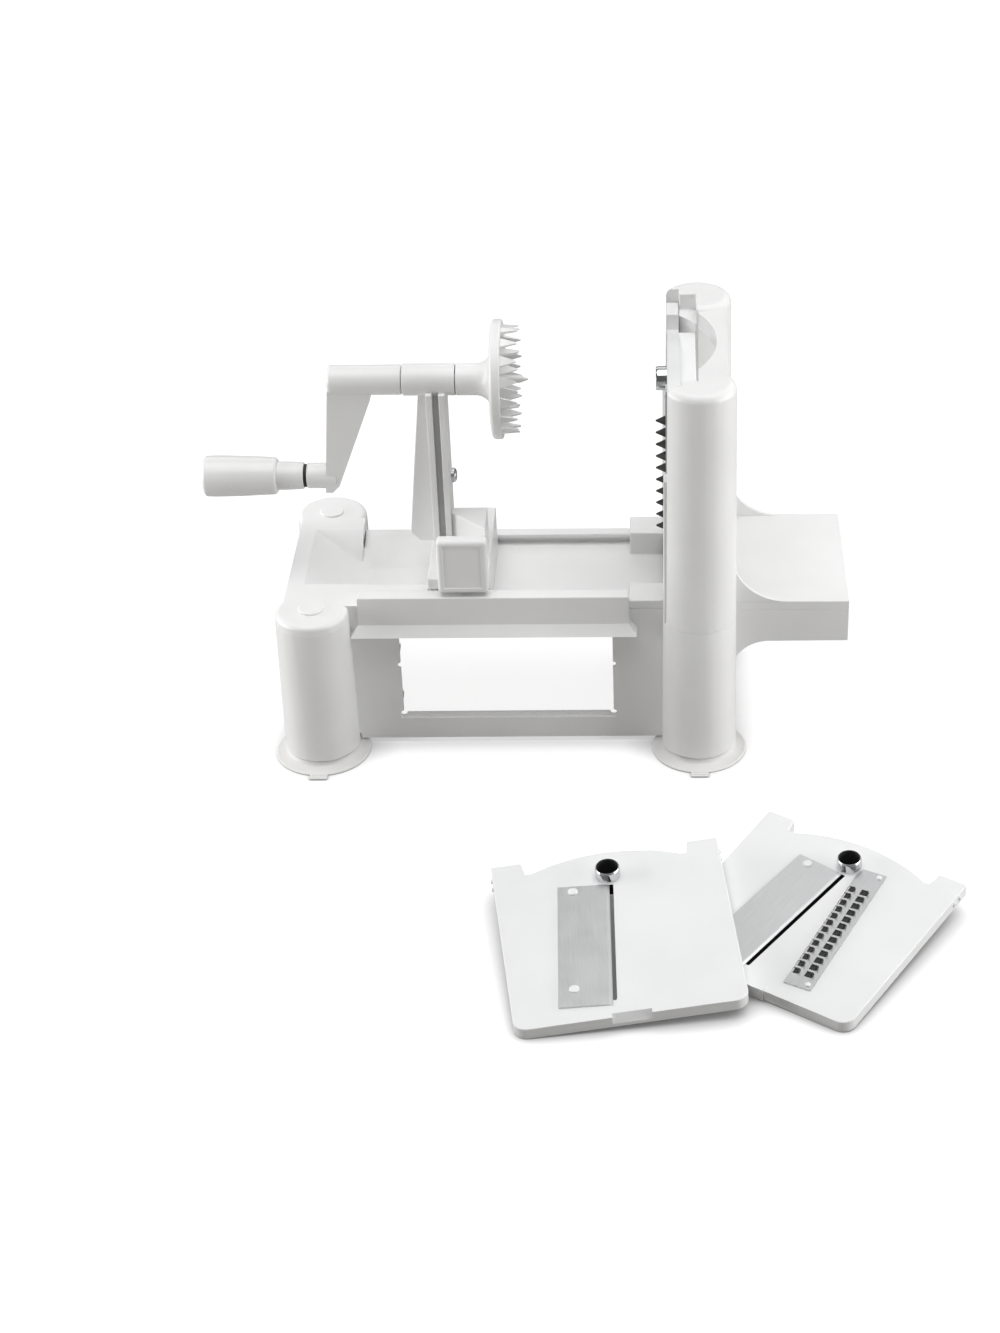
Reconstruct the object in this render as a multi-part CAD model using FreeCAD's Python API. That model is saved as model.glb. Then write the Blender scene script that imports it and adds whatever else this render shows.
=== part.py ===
"""Hand cranked spiralizer: base, sliding carriage, crank, mounted blade plate and two spare blade plates.

Axes: +X from the crank to the blade plate, +Y away from the user, +Z up, z = 0 on the resting plane.
It is drawn around the spindle, whose axis has y = 0. At the end the whole part moves sideways, so that
the origin lies below the middle of its box. Millimetres.
"""
import FreeCAD, Part
import math
import os

V = FreeCAD.Vector

# ---------------------------------------------------------------- driving dimensions
# Base
SEAM_Z = 89.0                 # height of the joint between the lower frame and the upper mouldings
DECK_TOP_Z = 94.5             # top of the deck, the short posts and the tray
FRAME_BOTTOM_Z = 3.0          # lower edge of the frame walls
COLUMN_BOTTOM_Z = 6.0         # lower edge of the round columns, above the suction feet
HALF_DEPTH = 48.0             # outer face of the front and rear walls
WALL = 2.5                    # wall of the mouldings
COLUMN_Y = 55.3               # centre of the columns, each side of the spindle
POST_X = -107.5               # centre of the two short posts
TOWER_X = 108.5               # centre of the two tall columns
COLUMN_FOOT_R = 21.2          # column radius at its lower edge
COLUMN_SEAM_R = 20.4          # column radius at the seam
POST_TOP_R = 19.8             # short post radius at its top
TOWER_TOP_R = 19.4            # tall column radius at its top
COLUMN_WALL = 3.0
TOP_ROUND = 5.0               # rounding of the tall column tops
POST_ROUND = 3.0              # rounding of the short post tops

# Deck channel and rails
CHANNEL_FLOOR_Z = 80.0
CHANNEL_SIDE = 7.5            # from the carriage channel to the outer face of the walls
CHANNEL_X0 = -44.0            # left stop of the carriage
CHANNEL_X1 = 69.0             # right stop of the carriage
END_CHANNEL_SIDE = 20.0       # the same for the narrow channels at both ends
END_CHANNEL_X0 = -117.0
RAMP_X1 = -82.0               # the left end of the channel ramps up from here
SLOPE_Y0 = 14.0               # foot of the slope up to the rear rail, left of the carriage
SLOPE_BLOCK_Y1 = 34.0         # top of the steeper slope in front of the rear post
DECK_LEFT_X = -124.0
DECK_RIGHT_X = 126.0
GROOVE_H = 4.0                # guide groove beside the channel floor
GROOVE_DEPTH = 3.5
FRONT_RAIL_X0 = -82.0
FRONT_RAIL_PROUD = 6.0        # front rail ahead of the front wall
FRONT_RAIL_TOP_Z = 100.5
FRONT_RAIL_T = 9.0
CORNER_PROUD = 4.0            # corner between the front rail and the short post
SKIRT_TOP_Z = 83.0            # flared skirt below the front rail
SKIRT_BOTTOM_Z = 77.0
SKIRT_FLARE = 4.5
REAR_RAIL_TOP_Z = 86.5

# Front window and plate storage
WINDOW_X0 = -61.0
WINDOW_X1 = 59.5
WINDOW_Z0 = 19.5
WINDOW_Z1 = 72.0
RUNNER_LEVELS = (19.5, 52.0)  # height of the two plate storage runners
RUNNER_W = 6.0
RUNNER_H = 2.5
RUNNER_L = 22.0
RUNNER_NOTCH = 2.0            # where a runner ends in the edge of the window

# Side tray
TRAY_END_X = 192.5
TRAY_PROUD = 2.0              # tray sides ahead of the walls
TRAY_BOTTOM_Z = 68.5
TRAY_UPPER_RISE = 31.0        # curved rib between the tray and the tall column
TRAY_LOWER_DROP = 22.0        # curved rib below the tray

# Tall columns, sill and bridge
TOWER_TOP_Z = 234.0
BRIDGE_H = 12.0
BRIDGE_X0 = 108.0
BRIDGE_X1 = 124.0
BRIDGE_BOW = 10.5             # depth of the curved gap behind the mounted plate
CHEEK_X0 = 89.0               # front face of the plate guides
CORE_OFFSET = 4.0             # hollow of a tall column, from its middle away from the plate
CHEEK_TOP_Z = 178.0           # the guides close in front of the plate up to here
CHEEK_STEP = 10.0             # the ears sit this far below the column tops
SILL_OVER = 4.0               # how far the sill covers the plate's lower edge
THROAT_HALF = 39.0            # half width of the opening behind the plate
PLATE_GAP = 0.3               # clearance of the plate in its slots

# Suction feet
FOOT_RIM_R = 27.0
FOOT_BODY_R = 20.0
FOOT_STEM_R = 4.0
FOOT_HEAD_R = 5.6
FOOT_FLOOR_Z = 10.0           # floor inside the column that carries the foot
FOOT_FLOOR_T = 3.0
FOOT_GAP = 0.1
FOOT_NOTCH = 2.5              # clearance of the frame walls around a foot
FOOT_CUP = 4.0                # hollow under a suction foot
FOOT_LAND = 2.5               # flat rim that rests on the table
FOOT_HEAD_H = 3.0
FOOT_DRAFT = 0.6              # drop of the foot's shoulder
TAB_HALF = 5.0
TAB_OUT = 4.0
TAB_Z0 = 0.4
TAB_Z1 = 1.2

# Screws that join the lower frame to the upper mouldings
SCREW_R = 1.5
SCREW_HEAD_R = 3.0
SCREW_HEAD_H = 2.2
SCREW_GRIP = 12.0             # depth of the screw holes in the tall columns
SCREW_END = 0.5               # free depth past a screw's end
SCREW_OFFSET = 9.0            # from the column centre towards the middle of the machine
DRIVER_R = 3.8

# Post caps
CAP_R = 7.0
CAP_RISE = 1.2
CAP_STEM_R = 3.0
CAP_STEM = 5.0

# Spindle and bearing
AXIS_Z = 208.5
SPINDLE_R = 5.0
RUNNING_GAP = 0.05
TUBE_R = 8.8
TUBE_X0 = -54.5
TUBE_X1 = -25.5
END_PLAY = 0.4

# Carriage
SLED_X0 = -43.0
SLED_X1 = -9.0
SLIDE_GAP = 0.3
SLED_TOP_Z = 88.0
BODY_SIDE = 4.5               # carriage body, in from the channel's sides
BODY_TOP_Z = 108.0
SHELF_CLEAR = 0.8             # height of the shelf above the front rail
GUSSET_TOP_Z = 129.0
GUSSET_X1 = -11.0
GUSSET_NEAR_Y = 8.0           # the gusset's slanted face starts here at the upright
GUSSET_FAR_Y = 27.0           # and ends here at the carriage's right end
GUSSET_BACK_Y = 2.0
WEB_T = 6.0
FLANGE_T = 3.4
FLANGE_HALF = 11.0
FLANGE_RIGHT_X = -31.0
FLANGE_LEFT_X = -41.5
WEB_FOOT_X = -55.3            # the web's rear edge where it is widest
WEB_HEAD_X = -46.0
WEB_FOOT_Z = 113.5
UPRIGHT_SCREW_R = 2.0
UPRIGHT_SCREW_HEAD_R = 4.2
UPRIGHT_SCREW_HEAD_H = 3.0
UPRIGHT_SCREW_Y = 7.0
UPRIGHT_SCREW_Z = 145.0
PUSH_X0 = -36.5
PUSH_X1 = -8.5
PUSH_T = 8.0
PUSH_BOTTOM_Z = 103.0
PUSH_TOP_Z = 136.5
PUSH_ROUND = 2.5
PUSH_RECESS = 0.6
PUSH_RIM = 3.5                # plain rim around the dished face
PUSH_PIN_R = 1.5
PUSH_PIN_L = 5.0

# Crank
HUB_X0 = -95.8
HUB_R = 8.3
HUB_ROUND = 2.5
ARM_HALF = 6.5
ARM_HEAD_X = -72.3
ARM_FOOT_X = -93.0
ARM_FOOT_X0 = -101.0
ARM_UNDER = 0.5               # the arm's foot reaches this far below the grip stub
ARM_TOE = 4.0                 # slanted corner at the arm's foot
ARM_DROP = 1.0                # the arm's slanted edge starts this far below the hub
THROW = 59.5                  # spindle axis to grip axis
STUB_X0 = -111.5
STUB_R = 7.2
HUB_BORE_R = 4.2              # counterbore for the hub screw, closed by the hub cap
HUB_BORE = 9.0
HUB_CAP = 2.0
HUB_SCREW_R = 2.0
HUB_SCREW = 16.0

# Spiked disc
DISC_HUB_X1 = -11.5
DISC_HUB_R = 8.8
DISC_BACK_X = -6.3
DISC_FLARE_R = 13.0
DISC_FACE_X = 0.8
DISC_R = 33.0
DISC_RIM = 3.0
DISC_DISH = 3.0
PRONG_L = 9.0
PRONG_W = 8.0
PRONG_T = 1.8
PRONG_TIP = 0.4               # half width of a prong's end
PRONG_ROOT = 0.5              # depth of the prongs and the pin in the disc
PRONG_RINGS = ((29.0, 16), (16.0, 8))
CENTRE_PIN_R = 2.2
CENTRE_PIN_L = 14.0
CENTRE_PIN_TIP = 5.0

# Grip
GRIP_X0 = -169.0
GRIP_X1 = -128.0
GRIP_R0 = 11.6
GRIP_R1 = 10.5
GRIP_ROUND = 1.6
COLLAR_X1 = -113.2
COLLAR_R = 8.0
PIN_R = 3.0
PIN_HEAD_R = 5.0
PIN_HEAD_T = 2.5
GRIP_BORE_R = 5.6
GRIP_END_CAP = 3.0
PIN_SEAT = 14.0               # length of the pin inside the crank

# Blade plates
PLATE_X0 = 91.0               # cutting face of the mounted plate
PLATE_T = 7.0
PLATE_H = 121.0
PLATE_HALF = 58.6
PLATE_TOP_HALF = 60.4
PLATE_CORNER = 7.0
EAR_W = 16.0
NOTCH_DIP = 9.0
NOTCH_IN = 1.5                # foot of the notch, in from the ear
NOTCH_OUT = 5.0               # start of the arched top, in from the ear
RING_DROP = 18.0              # coring ring below the plate's top
RING_R = 6.6
RING_WALL = 1.0
RING_PROUD = 6.0
FLANGE_DEPTH = 9.0            # lip behind the plate's arched top
LIP_HALF = 36.0
LIP_T = 3.0
DETENT_R = 1.2
DETENT_PROUD = 0.8
DETENT_DROP = (13.5, 7.5)     # detents below the plate's top
LATCH_W = 20.0
LATCH_OUT = 0.3               # how far the foot tab stands out, down to the slot's floor
LATCH_T = 4.0
BLADE_W = 26.5
BLADE_FOOT = 8.0              # blade above the plate's lower edge
BLADE_T = 0.8
BLADE_LEAN = 5.5              # degrees between the blade and the plate's centre line
SLOT_W = 3.6
SLOT_UNDER = 1.0              # part of the slot that lies under the blade
BLADE_EDGE = 0.6              # cutting edge past the ring's middle
BLADE_END = 4.0               # length of the blade past the slot
RING_ROOM = 1.2               # clearance of the steel parts around the ring
RIVET_R = 2.6
RIVET_H = 1.0
RIVET_IN = 8.0                # rivets of a blade, in from its outer edge
RIVET_END = 12.0              # rivets of a blade, in from its ends
STRIP_LEAN = -5.5
STRIP_W = 15.0
STRIP_Y0 = 9.0                # toothed strip above the plate's lower edge
STRIP_X0 = 6.5                # inner edge of a toothed strip at the ring
STRIP_END = 6.0               # plain end of a strip
STRIP_MARGIN = 2.0            # from the plain end to the first tooth
FINE_ROWS = (10.0, 17.5)      # rows of fine teeth
FINE_SLOT = 1.5
COARSE_ROW = 12.0
COARSE_SLOT = 3.5
STRIP_RIVET_R = 1.5
STRIP_TOOTH = 3.2
CHIP_TOOTH_W = 6.0
CHIP_TOOTH_H = 5.5
CHIP_TOOTH_T = 1.0
CHIP_GAP = 1.0                # between two coarse teeth

# Where the spare plates lie: middle of the near edge, and turn about the vertical
SPARE_A_AT = (72.0, -301.0)
SPARE_A_TURN = 7.2
SPARE_A_ROLL = 3.62           # the plain plate leans on the shredder plate
SPARE_B_AT = (129.0, -274.5)
SPARE_B_TURN = -33.7

PAST = 1.0                    # how far a cut runs past its face, and a small feature into its body

# Worked out from the sizes above
CHANNEL_HALF = HALF_DEPTH - CHANNEL_SIDE
END_CHANNEL_HALF = HALF_DEPTH - END_CHANNEL_SIDE
LEFT_OPEN_X0 = POST_X + COLUMN_SEAM_R + FOOT_GAP
LIP_Z = CHANNEL_FLOOR_Z + GROOVE_H
RAIL_FRONT_Y = -HALF_DEPTH - FRONT_RAIL_PROUD
TRAY_HALF = HALF_DEPTH + TRAY_PROUD
EAR_REACH = PLATE_TOP_HALF + DETENT_PROUD
RING_V = PLATE_H - RING_DROP  # height of the coring ring on the plate
PLATE_Z0 = AXIS_Z - RING_V    # lower edge of the mounted plate
SILL_TOP_Z = PLATE_Z0 + SILL_OVER
GRIP_Z = AXIS_Z - THROW
STRIP_Y1 = RING_V - RING_R - STRIP_END - STRIP_MARGIN
POST_SCREW_REACH = DECK_TOP_Z - WALL / 2 - SCREW_END - SEAM_Z
TOWER_SCREW_REACH = SCREW_GRIP - SCREW_END


# ---------------------------------------------------------------- helpers
def box(x0, x1, y0, y1, z0, z1):
    return Part.makeBox(x1 - x0, y1 - y0, z1 - z0, V(x0, y0, z0))


def rod(x0, x1, r, y=0.0, z=AXIS_Z):
    """Cylinder along X."""
    return Part.makeCylinder(r, x1 - x0, V(x0, y, z), V(1, 0, 0))


def rod_y(x, z, r, y0, y1):
    """Cylinder along Y."""
    return Part.makeCylinder(r, y1 - y0, V(x, y0, z), V(0, 1, 0))


def post(x, y, r, z0, z1):
    """Cylinder along Z."""
    return Part.makeCylinder(r, z1 - z0, V(x, y, z0))


def taper(x, y, r0, r1, z0, z1):
    """Cone frustum along Z."""
    return Part.makeCone(r0, r1, z1 - z0, V(x, y, z0))


def join(shapes):
    first, rest = shapes[0], shapes[1:]
    return first.fuse(rest).removeSplitter()


def prism(points, depth):
    """Straight-sided solid from a closed outline and an extrusion vector."""
    wire = Part.makePolygon(points + [points[0]])
    return Part.Face(wire).extrude(depth)


def prism_xz(points, y0, y1):
    return prism([V(x, y0, z) for x, z in points], V(0, y1 - y0, 0))


def prism_yz(points, x0, x1):
    return prism([V(x0, y, z) for y, z in points], V(x1 - x0, 0, 0))


def prism_xy(points, z0, z1):
    return prism([V(x, y, z0) for x, y in points], V(0, 0, z1 - z0))


def revolve_x(points, z=AXIS_Z):
    """Turned solid about the X line at height z, from (x, radius) points."""
    wire = Part.makePolygon([V(x, 0, z + r) for x, r in points + [points[0]]])
    return Part.Face(wire).revolve(V(0, 0, z), V(1, 0, 0), 360)


def revolve_z(points, x, y):
    """Turned solid about a vertical line, from (radius, z) points."""
    wire = Part.makePolygon([V(x + r, y, z) for r, z in points + [points[0]]])
    return Part.Face(wire).revolve(V(x, y, 0), V(0, 0, 1), 360)


def round_edges(shape, radius, wanted):
    edges = [e for e in shape.Edges if wanted(e)]
    return shape.makeFillet(radius, edges)


def level_circle(z):
    """Picks full or part circles that lie level at height z."""
    def wanted(edge):
        flat = edge.BoundBox.ZLength < 1e-6 and abs(edge.BoundBox.ZMin - z) < 1e-6
        return flat and isinstance(edge.Curve, Part.Circle)
    return wanted


def screw_places():
    """Screw axis beside each column centre, towards the middle of the machine."""
    for x, inward in ((POST_X, 1), (TOWER_X, -1)):
        for side in (-1, 1):
            yield x + inward * SCREW_OFFSET, side * COLUMN_Y


def column_places():
    return [(x, side * COLUMN_Y) for x in (POST_X, TOWER_X) for side in (-1, 1)]


# ---------------------------------------------------------------- base
def lower_frame():
    front = box(POST_X, TOWER_X, -HALF_DEPTH, -HALF_DEPTH + WALL, FRAME_BOTTOM_Z, SEAM_Z)
    rear = box(POST_X, TOWER_X, HALF_DEPTH - WALL, HALF_DEPTH, FRAME_BOTTOM_Z, SEAM_Z)
    left = box(DECK_LEFT_X, DECK_LEFT_X + WALL, -COLUMN_Y, COLUMN_Y, FRAME_BOTTOM_Z, SEAM_Z)
    right = box(DECK_RIGHT_X - WALL, DECK_RIGHT_X, -COLUMN_Y, COLUMN_Y, FRAME_BOTTOM_Z, SEAM_Z)
    solids = [front, rear, left, right]
    solids += [frame_column(x, y) for x, y in column_places()]
    frame = join(solids)
    cuts = [window_cut(), rear_portal_cut()]
    for x, y in column_places():
        inner0 = COLUMN_FOOT_R - COLUMN_WALL
        inner1 = COLUMN_SEAM_R - COLUMN_WALL
        core = taper(x, y, inner0, inner1, COLUMN_BOTTOM_Z, SEAM_Z - COLUMN_WALL)
        floor = post(x, y, COLUMN_FOOT_R, FOOT_FLOOR_Z, FOOT_FLOOR_Z + FOOT_FLOOR_T)
        cuts.append(core.cut(floor))
        cuts.append(post(x, y, FOOT_STEM_R + FOOT_GAP, COLUMN_BOTTOM_Z, SEAM_Z / 2))
        cuts.append(post(x, y, FOOT_BODY_R + FOOT_NOTCH, 0, COLUMN_BOTTOM_Z))
    for x, y in screw_places():
        cuts.append(post(x, y, SCREW_R + FOOT_GAP, SEAM_Z / 2, SEAM_Z))
        cuts.append(post(x, y, DRIVER_R, COLUMN_BOTTOM_Z, SEAM_Z / 2))
    frame = frame.cut(cuts)
    frame = frame.fuse(storage_runners()).removeSplitter()
    return frame.cut(rear_rail_relief())


def frame_column(x, y):
    return taper(x, y, COLUMN_FOOT_R, COLUMN_SEAM_R, COLUMN_BOTTOM_Z, SEAM_Z)


def window_cut():
    pane = box(WINDOW_X0, WINDOW_X1, -HALF_DEPTH - PAST, -HALF_DEPTH + WALL + PAST, WINDOW_Z0, WINDOW_Z1)
    notches = []
    for z in RUNNER_LEVELS:
        for x in (WINDOW_X0, WINDOW_X1):
            notches.append(rod_y(x, z, RUNNER_NOTCH, -HALF_DEPTH - PAST, -HALF_DEPTH + WALL + PAST))
    return pane.fuse(notches)


def rear_portal_cut():
    """Open rear side of the storage space, which reaches almost to the left column."""
    left = POST_X + COLUMN_FOOT_R + WALL
    return box(left, WINDOW_X1, HALF_DEPTH - WALL - PAST, HALF_DEPTH + PAST, 0, WINDOW_Z1)


def rear_rail_relief():
    """Room for the low rear rail, whose lip hooks over the frame's rear wall."""
    return box(LEFT_OPEN_X0, CHANNEL_X1, CHANNEL_HALF, HALF_DEPTH + PAST, LIP_Z, SEAM_Z + PAST)


def storage_runners():
    """Short ledges behind the window, which carry the near ends of stored plates."""
    ledges = []
    for z in RUNNER_LEVELS:
        for x0, x1 in ((WINDOW_X0 - RUNNER_W - RUNNER_NOTCH, WINDOW_X0 - RUNNER_NOTCH),
                       (WINDOW_X1 + RUNNER_NOTCH, WINDOW_X1 + RUNNER_NOTCH + RUNNER_W)):
            y0 = WALL - HALF_DEPTH
            ledges.append(box(x0, x1, y0, y0 + RUNNER_L, z - RUNNER_H, z))
    return ledges


def tray_shell():
    """Lower half of the side tray, with a curved rib down to the frame on each side."""
    outer = box(DECK_RIGHT_X, TRAY_END_X, -TRAY_HALF, TRAY_HALF, TRAY_BOTTOM_Z, SEAM_Z)
    hollow = box(DECK_RIGHT_X, TRAY_END_X - WALL, WALL - TRAY_HALF, TRAY_HALF - WALL,
                 TRAY_BOTTOM_Z + WALL, SEAM_Z)
    ribs = [corner_rib(DECK_RIGHT_X, TRAY_BOTTOM_Z, TRAY_LOWER_DROP, -TRAY_LOWER_DROP, rib_y0(side), 0)
            for side in (-1, 1)]
    columns = [frame_column(TOWER_X, y) for y in (-COLUMN_Y, COLUMN_Y)]
    return join([outer.cut(hollow)] + ribs).cut(columns)


def corner_rib(x0, z0, reach, rise, y0, root):
    """Rib of one wall's thickness in the corner between an upright face and a level one."""
    middle = 1 - math.cos(math.radians(45))
    arc = Part.Arc(V(x0, y0, z0 + rise),
                   V(x0 + reach * middle, y0, z0 + rise * middle),
                   V(x0 + reach, y0, z0)).toShape()
    ends = [V(x0 + reach, y0, z0), V(x0 - root, y0, z0), V(x0 - root, y0, z0 + rise), V(x0, y0, z0 + rise)]
    lines = [Part.makeLine(a, b) for a, b in zip(ends, ends[1:]) if a != b]
    return Part.Face(Part.Wire([arc] + lines)).extrude(V(0, WALL, 0))


def rib_y0(side):
    return -TRAY_HALF if side < 0 else TRAY_HALF - WALL


def deck():
    """Upper moulding: channel for the carriage, rails, short post tops and the tray's top."""
    plate_right = CHEEK_X0 - SLIDE_GAP
    solids = [box(DECK_LEFT_X, plate_right, -HALF_DEPTH, HALF_DEPTH, SEAM_Z, DECK_TOP_Z)]
    for y in (-COLUMN_Y, COLUMN_Y):
        top = taper(POST_X, y, COLUMN_SEAM_R, POST_TOP_R, SEAM_Z, DECK_TOP_Z)
        solids.append(round_edges(top, POST_ROUND, level_circle(DECK_TOP_Z)))
    inside = HALF_DEPTH - WALL - SLIDE_GAP
    pan_bottom = CHANNEL_FLOOR_Z - WALL
    solids.append(box(CHANNEL_X0 - WALL, CHANNEL_X1 + WALL, -inside, inside, pan_bottom, SEAM_Z))
    solids.append(box(END_CHANNEL_X0, CHANNEL_X0, -END_CHANNEL_HALF - WALL, END_CHANNEL_HALF + WALL,
                      pan_bottom, SEAM_Z))
    solids.append(box(LEFT_OPEN_X0, CHANNEL_X0, END_CHANNEL_HALF, inside, pan_bottom, SEAM_Z))
    solids.append(box(LEFT_OPEN_X0, CHANNEL_X1, inside - PAST, HALF_DEPTH, LIP_Z, REAR_RAIL_TOP_Z))
    solids.append(box(CHANNEL_X1, plate_right, -END_CHANNEL_HALF - WALL, END_CHANNEL_HALF + WALL,
                      pan_bottom, SEAM_Z))
    solids += [front_rail(), rail_corner()]
    moulding = join(solids)
    channel = box(CHANNEL_X0, CHANNEL_X1, -CHANNEL_HALF, CHANNEL_HALF, CHANNEL_FLOOR_Z, DECK_TOP_Z + PAST)
    right_end = box(CHANNEL_X1 - PAST, plate_right + PAST, -END_CHANNEL_HALF, END_CHANNEL_HALF,
                    CHANNEL_FLOOR_Z, DECK_TOP_Z + PAST)
    grooves = box(CHANNEL_X0, CHANNEL_X1, -CHANNEL_HALF - GROOVE_DEPTH, CHANNEL_HALF + GROOVE_DEPTH,
                  CHANNEL_FLOOR_Z, CHANNEL_FLOOR_Z + GROOVE_H)
    low_rear = box(CHANNEL_X0, CHANNEL_X1, CHANNEL_HALF, HALF_DEPTH + PAST,
                   REAR_RAIL_TOP_Z, DECK_TOP_Z + PAST)
    cuts = [channel, left_trough(), right_end, grooves, low_rear]
    for x, y in screw_places():
        if x < 0:
            cuts.append(post(x, y, SCREW_R, SEAM_Z, DECK_TOP_Z - WALL / 2))
    for y in (-COLUMN_Y, COLUMN_Y):
        cuts.append(post(POST_X, y, CAP_STEM_R, SEAM_Z, DECK_TOP_Z))
    return moulding.cut(cuts)


def left_trough():
    """Open left end of the channel: a ramp at its end and a slope up to the low rear rail behind it."""
    top = DECK_TOP_Z + PAST
    x0 = END_CHANNEL_X0 + WALL
    x1 = CHANNEL_X0 + PAST
    floor = [(-END_CHANNEL_HALF, top), (-END_CHANNEL_HALF, CHANNEL_FLOOR_Z), (SLOPE_Y0, CHANNEL_FLOOR_Z)]
    steep = floor + [(SLOPE_BLOCK_Y1, DECK_TOP_Z), (SLOPE_BLOCK_Y1, top)]
    gentle = floor + [(CHANNEL_HALF, REAR_RAIL_TOP_Z), (HALF_DEPTH + PAST, REAR_RAIL_TOP_Z),
                      (HALF_DEPTH + PAST, top)]
    trough = prism_yz(steep, x0, LEFT_OPEN_X0).fuse(prism_yz(gentle, LEFT_OPEN_X0, x1))
    ramp = [(x0, DECK_TOP_Z), (RAMP_X1, CHANNEL_FLOOR_Z), (x1, CHANNEL_FLOOR_Z), (x1, top), (x0, top)]
    return trough.common(prism_xz(ramp, -HALF_DEPTH, HALF_DEPTH + PAST))


def rail_corner():
    """Filled corner between the front rail and the short near post."""
    front_y = -HALF_DEPTH - CORNER_PROUD
    corner = box(POST_X, FRONT_RAIL_X0 + PAST, front_y, -HALF_DEPTH, SKIRT_BOTTOM_Z, DECK_TOP_Z)
    return corner.cut(frame_column(POST_X, -COLUMN_Y))


def front_rail():
    """Guide rail along the front edge, with a flared skirt over the frame's front wall."""
    rail = box(FRONT_RAIL_X0, CHANNEL_X1, RAIL_FRONT_Y, RAIL_FRONT_Y + FRONT_RAIL_T, SEAM_Z, FRONT_RAIL_TOP_Z)
    apron = box(FRONT_RAIL_X0, CHANNEL_X1, RAIL_FRONT_Y, -HALF_DEPTH, SKIRT_TOP_Z, SEAM_Z)
    upper = skirt_wire(0.0, SKIRT_TOP_Z)
    lower = skirt_wire(SKIRT_FLARE, SKIRT_BOTTOM_Z)
    skirt = Part.makeLoft([lower, upper], True, True)
    return join([rail, apron, skirt])


def skirt_wire(flare, z):
    x0, x1 = FRONT_RAIL_X0 - flare, CHANNEL_X1 + flare
    y0, y1 = RAIL_FRONT_Y - flare, -HALF_DEPTH
    corners = [V(x0, y0, z), V(x1, y0, z), V(x1, y1, z), V(x0, y1, z), V(x0, y0, z)]
    return Part.makePolygon(corners)


def tray_top():
    """Top of the side tray, between the tall columns and the tray's free end."""
    plate = box(DECK_RIGHT_X - WALL, TRAY_END_X, -TRAY_HALF, TRAY_HALF, SEAM_Z, DECK_TOP_Z)
    return plate.cut([tower_column(-1), tower_column(1)])


def tower_column(side):
    column = taper(TOWER_X, side * COLUMN_Y, COLUMN_SEAM_R, TOWER_TOP_R, SEAM_Z, TOWER_TOP_Z)
    return round_edges(column, TOP_ROUND, level_circle(TOWER_TOP_Z))


def blade_tower():
    """Both tall columns with the plate guides, the sill under the plate and the bridge behind it."""
    solids = [tower_column(-1), tower_column(1)]
    guide_outer = EAR_REACH + WALL
    for side in (-1, 1):
        y0, y1 = sorted((side * (THROAT_HALF + WALL), side * guide_outer))
        solids.append(box(CHEEK_X0, BRIDGE_X0, y0, y1, SEAM_Z, TOWER_TOP_Z - CHEEK_STEP))
    sill_half = THROAT_HALF + WALL
    solids.append(box(CHEEK_X0, BRIDGE_X0, -sill_half, sill_half, SEAM_Z, SILL_TOP_Z))
    solids.append(box(BRIDGE_X0, DECK_RIGHT_X - WALL, -sill_half, sill_half, SEAM_Z, DECK_TOP_Z))
    bridge = box(BRIDGE_X0, BRIDGE_X1, -COLUMN_Y, COLUMN_Y, TOWER_TOP_Z - BRIDGE_H, TOWER_TOP_Z - WALL)
    solids.append(bridge)
    rib_x0 = DECK_RIGHT_X + SLIDE_GAP
    for side in (-1, 1):
        solids.append(corner_rib(rib_x0, DECK_TOP_Z, TRAY_UPPER_RISE, TRAY_UPPER_RISE, rib_y0(side),
                                 rib_x0 - TOWER_X))
    tower = join(solids)
    cuts = [plate_slot(), bridge_gap(), ear_step(-1), ear_step(1)]
    open_front = box(TOWER_X - 2 * COLUMN_SEAM_R, PLATE_X0 + PLATE_T / 2, -guide_outer, guide_outer,
                     CHEEK_TOP_Z, TOWER_TOP_Z + PAST)
    cuts.append(open_front)
    core_x = TOWER_X + CORE_OFFSET
    core_r = TOWER_TOP_R / 2
    core_bottom = SEAM_Z + SCREW_GRIP + WALL
    core_top = TOWER_TOP_Z - BRIDGE_H - COLUMN_WALL
    for side in (-1, 1):
        cuts.append(post(core_x, side * COLUMN_Y, core_r, core_bottom, core_top))
    for x, y in screw_places():
        if x > 0:
            cuts.append(post(x, y, SCREW_R, SEAM_Z, SEAM_Z + SCREW_GRIP))
    return tower.cut(cuts)


def plate_slot():
    """Slot open at the top for the plate, with a floor in the sill."""
    reach = EAR_REACH + PLATE_GAP
    slot = box(PLATE_X0 - PLATE_GAP, PLATE_X0 + PLATE_T + PLATE_GAP, -reach, reach, PLATE_Z0 - PLATE_GAP,
               TOWER_TOP_Z + PAST)
    lip = box(PLATE_X0, BRIDGE_X0 + PAST, -LIP_HALF - PAST, LIP_HALF + PAST, SILL_TOP_Z, TOWER_TOP_Z + PAST)
    return slot.fuse(lip)


def ear_step(side):
    """Lower quadrant of a column top, beside the plate's ear."""
    y0, y1 = sorted((side * COLUMN_Y, side * (THROAT_HALF - WALL)))
    return box(CHEEK_X0 - PAST, BRIDGE_X0, y0, y1, TOWER_TOP_Z - CHEEK_STEP, TOWER_TOP_Z + PAST)


def bridge_gap():
    """Curved gap between the mounted plate and the bridge."""
    half = LIP_HALF
    radius = (half ** 2 + BRIDGE_BOW ** 2) / (2 * BRIDGE_BOW)
    return post(BRIDGE_X0 + BRIDGE_BOW - radius, 0, radius, SILL_TOP_Z, TOWER_TOP_Z + PAST)


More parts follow.
